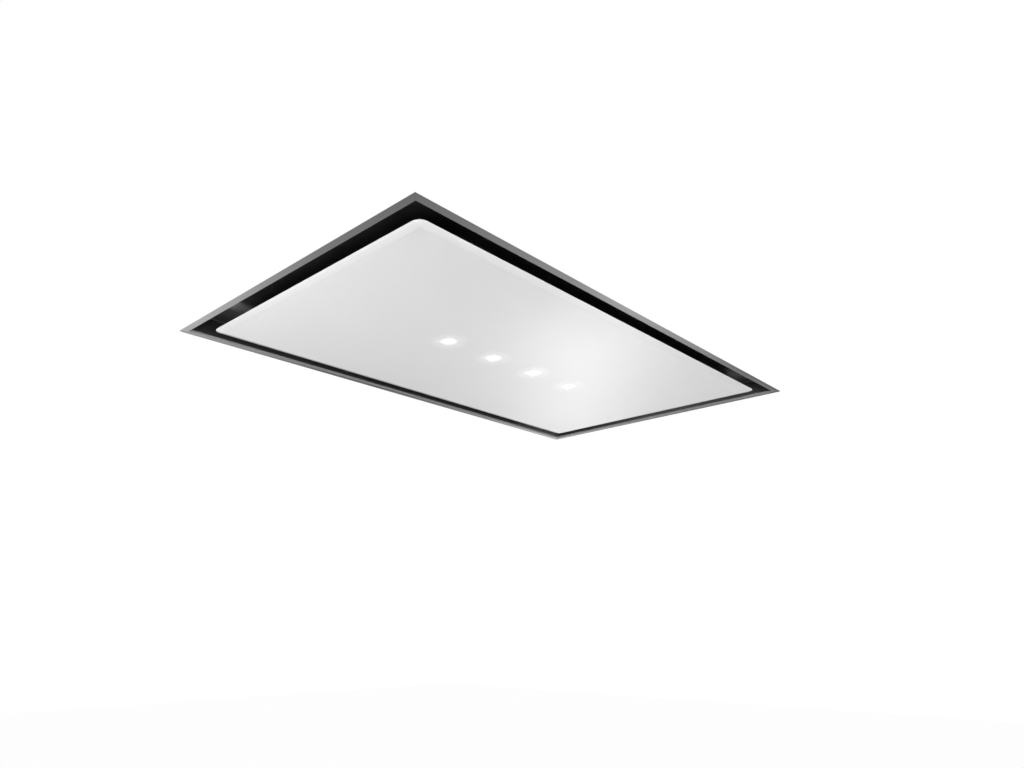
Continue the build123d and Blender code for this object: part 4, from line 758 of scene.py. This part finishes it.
# ---- Housing ---------------------------------------------------------------------------------
def weld_dimples():
    """A row of round spot-weld dimples along the housing's upper edges."""
    radius, height, rim, sink = 0.0032, 0.0006, 0.0011, 0.0003
    edge_x, edge_y = 0.437, 0.236
    long_row = [(index * 0.056 - 0.420, y) for index in range(16) for y in (-edge_y, edge_y)]
    short_row = [(x, index * 0.0545 - 0.1635) for index in range(7) for x in (-edge_x, edge_x)]
    first_x, first_y = long_row[0]
    clear_selection()
    bpy.ops.mesh.primitive_cylinder_add(vertices=16, radius=radius, depth=height,
                                        location=(first_x, first_y, ROOF_Z + height / 2))
    dimple = named("weld_dimples")
    pick_faces(dimple, faces_up)
    bpy.ops.mesh.inset(thickness=rim)
    bpy.ops.transform.translate(value=(0.0, 0.0, -sink))
    leave_edit()
    copies(dimple, [(x - first_x, y - first_y, 0.0) for x, y in (long_row + short_row)[1:]])
    finished(dimple, "frame", "zinc_sheet")


def corner_straps():
    """Folded straps that close the housing's upright corners."""
    corner_x, corner_y, bottom, top = 0.443, 0.243, 0.030, 0.122
    width, thickness = 0.018, 0.0012
    for name, side_x, side_y in (("front_left", -1, -1), ("front_right", 1, -1),
                                 ("back_left", -1, 1), ("back_right", 1, 1)):
        name = "corner_strap_" + name
        x, y = side_x * corner_x, side_y * corner_y
        outer_x, outer_y = x + side_x * thickness, y + side_y * thickness
        strap = new_block(name, (x, y, bottom), (x - side_x * width, outer_y, top))
        leg = new_block(name + "_leg", (x, outer_y, bottom), (outer_x, y - side_y * width, top))
        soften(joined([strap, leg]), 0.0004)
        finished(strap, "frame", "zinc_sheet")


def cover_ribs():
    """Pressed cross ribs that stiffen the blower box's cover."""
    half_length, half_width, bottom, top, pitch = 0.150, 0.006, 0.2940, 0.2955, 0.11
    rib = new_block("cover_ribs", (-half_length, -half_width, bottom),
                    (half_length, half_width, top))
    pick_faces(rib, faces_up)
    bpy.ops.transform.resize(value=(0.96, 0.5, 1.0))
    leave_edit()
    soften(rib, 0.0008)
    copies(rib, [(0.0, pitch, 0.0), (0.0, -pitch, 0.0)])
    finished(rib, "frame", "zinc_sheet")


# ---- Duct collar -----------------------------------------------------------------------------
def collar_gussets():
    """Small moulded ribs between the collar's flange and its spigot."""
    count, half_thickness = 16, 0.0008
    flange_x, tip_x = 0.2230, 0.2350
    low, high = DUCT_Z + 0.0745, DUCT_Z + 0.0765
    rib = new_block("collar_gussets", (flange_x, DUCT_Y - half_thickness, low),
                    (tip_x, DUCT_Y + half_thickness, high))
    pick_faces(rib, faces_up)
    bpy.ops.transform.resize(value=(0.4, 1.0, 1.0), center_override=(flange_x, DUCT_Y, high))
    leave_edit()
    soften(rib, 0.0002, 1)
    made = [rib]
    for index in range(1, count):
        twin = twin_of(rib)
        cos, sin = math.cos(index * math.tau / count), math.sin(index * math.tau / count)
        for vertex in twin.data.vertices:
            across, up = vertex.co.y - DUCT_Y, vertex.co.z - DUCT_Z
            vertex.co.y = DUCT_Y + across * cos - up * sin
            vertex.co.z = DUCT_Z + across * sin + up * cos
        made.append(twin)
    finished(joined(made), "frame", "black_plastic")


# ---- The room --------------------------------------------------------------------------------
def room_white(name):
    """A matt pale paint for the room's surfaces."""
    material, tree, shader = start_finish(name, Roughness=0.9, Base_Color=ROOM_PAINT)
    return material, tree, shader.outputs[0]


def seen_white(tree, surface, share=1.0):
    """White for rays from the camera, mirrors and glass; the given surface for the rest."""
    white = add(tree, "Emission", {"Color": WHITE, "Strength": 1.0}).outputs[0]
    factor = times(tree, seen_directly(tree), share)
    return add(tree, "MixShader", {0: factor, 1: surface, 2: white}).outputs[0]


def add_ceiling():
    """The ceiling's face with the hood's cut-out: white from below, and not there from above."""
    size, border = 8.0, 1.0
    clear_selection()
    bpy.ops.mesh.primitive_plane_add(size=size, location=(0.0, 0.0, 0.0))
    ceiling = named("ceiling")
    open_faces(ceiling)
    bpy.ops.mesh.inset(thickness=border)
    bpy.ops.mesh.delete(type="FACE")
    leave_edit()
    for vertex in ceiling.data.vertices:
        if abs(vertex.co.x) < size / 2 - border / 2:
            vertex.co.x = math.copysign(CUTOUT_HALF[0], vertex.co.x)
            vertex.co.y = math.copysign(CUTOUT_HALF[1], vertex.co.y)
    open_faces(ceiling)
    bpy.ops.mesh.flip_normals()
    leave_edit()
    material, tree, surface = room_white("ceiling_white")
    clear = add(tree, "BsdfTransparent").outputs[0]
    behind = add(tree, "NewGeometry").outputs["Backfacing"]
    mixed = add(tree, "MixShader", {0: behind, 1: seen_white(tree, surface), 2: clear})
    tree.links.new(mixed.outputs[0], tree.nodes["Material Output"].inputs["Surface"])
    ceiling.data.materials.append(material)


def add_floor():
    """A pale floor far below, as white as the room but for the hood's soft shadow."""
    clear_selection()
    bpy.ops.mesh.primitive_plane_add(size=40.0, location=(0.0, 0.0, FLOOR_Z))
    floor = named("floor")
    material, tree, surface = room_white("floor_pale")
    tree.links.new(seen_white(tree, surface, FLOOR_WHITE),
                   tree.nodes["Material Output"].inputs["Surface"])
    floor.data.materials.append(material)


def add_world():
    world = bpy.data.worlds.new("studio")
    scene.world = world
    world.use_nodes = True
    tree = world.node_tree
    background = tree.nodes["Background"]
    strength = span(tree, seen_directly(tree), 0.0, 1.0, ROOM_LIGHT, 1.0)
    tree.links.new(strength, background.inputs["Strength"])
    background.inputs["Color"].default_value = WHITE


def add_lamp(name, place, target, size, watts, turn):
    """A soft lamp that reflections don't show: a disc, or a strip where two sizes are given."""
    data = bpy.data.lights.new(name, "AREA")
    if isinstance(size, tuple):
        data.shape = "RECTANGLE"
        data.size, data.size_y = size
    else:
        data.shape = "DISK"
        data.size = size
    data.energy = watts
    lamp = bpy.data.objects.new(name, data)
    scene.collection.objects.link(lamp)
    lamp.location = place
    lamp.rotation_mode = "QUATERNION"
    aim = (Vector(target) - Vector(place)).to_track_quat("-Z", "Y")
    lamp.rotation_quaternion = aim @ Quaternion((0.0, 0.0, 1.0), math.radians(turn))
    lamp.visible_camera = False
    lamp.visible_glossy = False


def main():
    scene.view_settings.view_transform = "Standard"
    add_camera()
    dress_cad_parts()
    lens_gaskets()
    for side in ("left", "right"):
        expanded_metal(side)
        latch_coils(side)
    weld_dimples()
    corner_straps()
    cover_ribs()
    collar_gussets()
    add_ceiling()
    add_floor()
    add_world()
    for lamp in LAMPS:
        add_lamp(*lamp)


main()
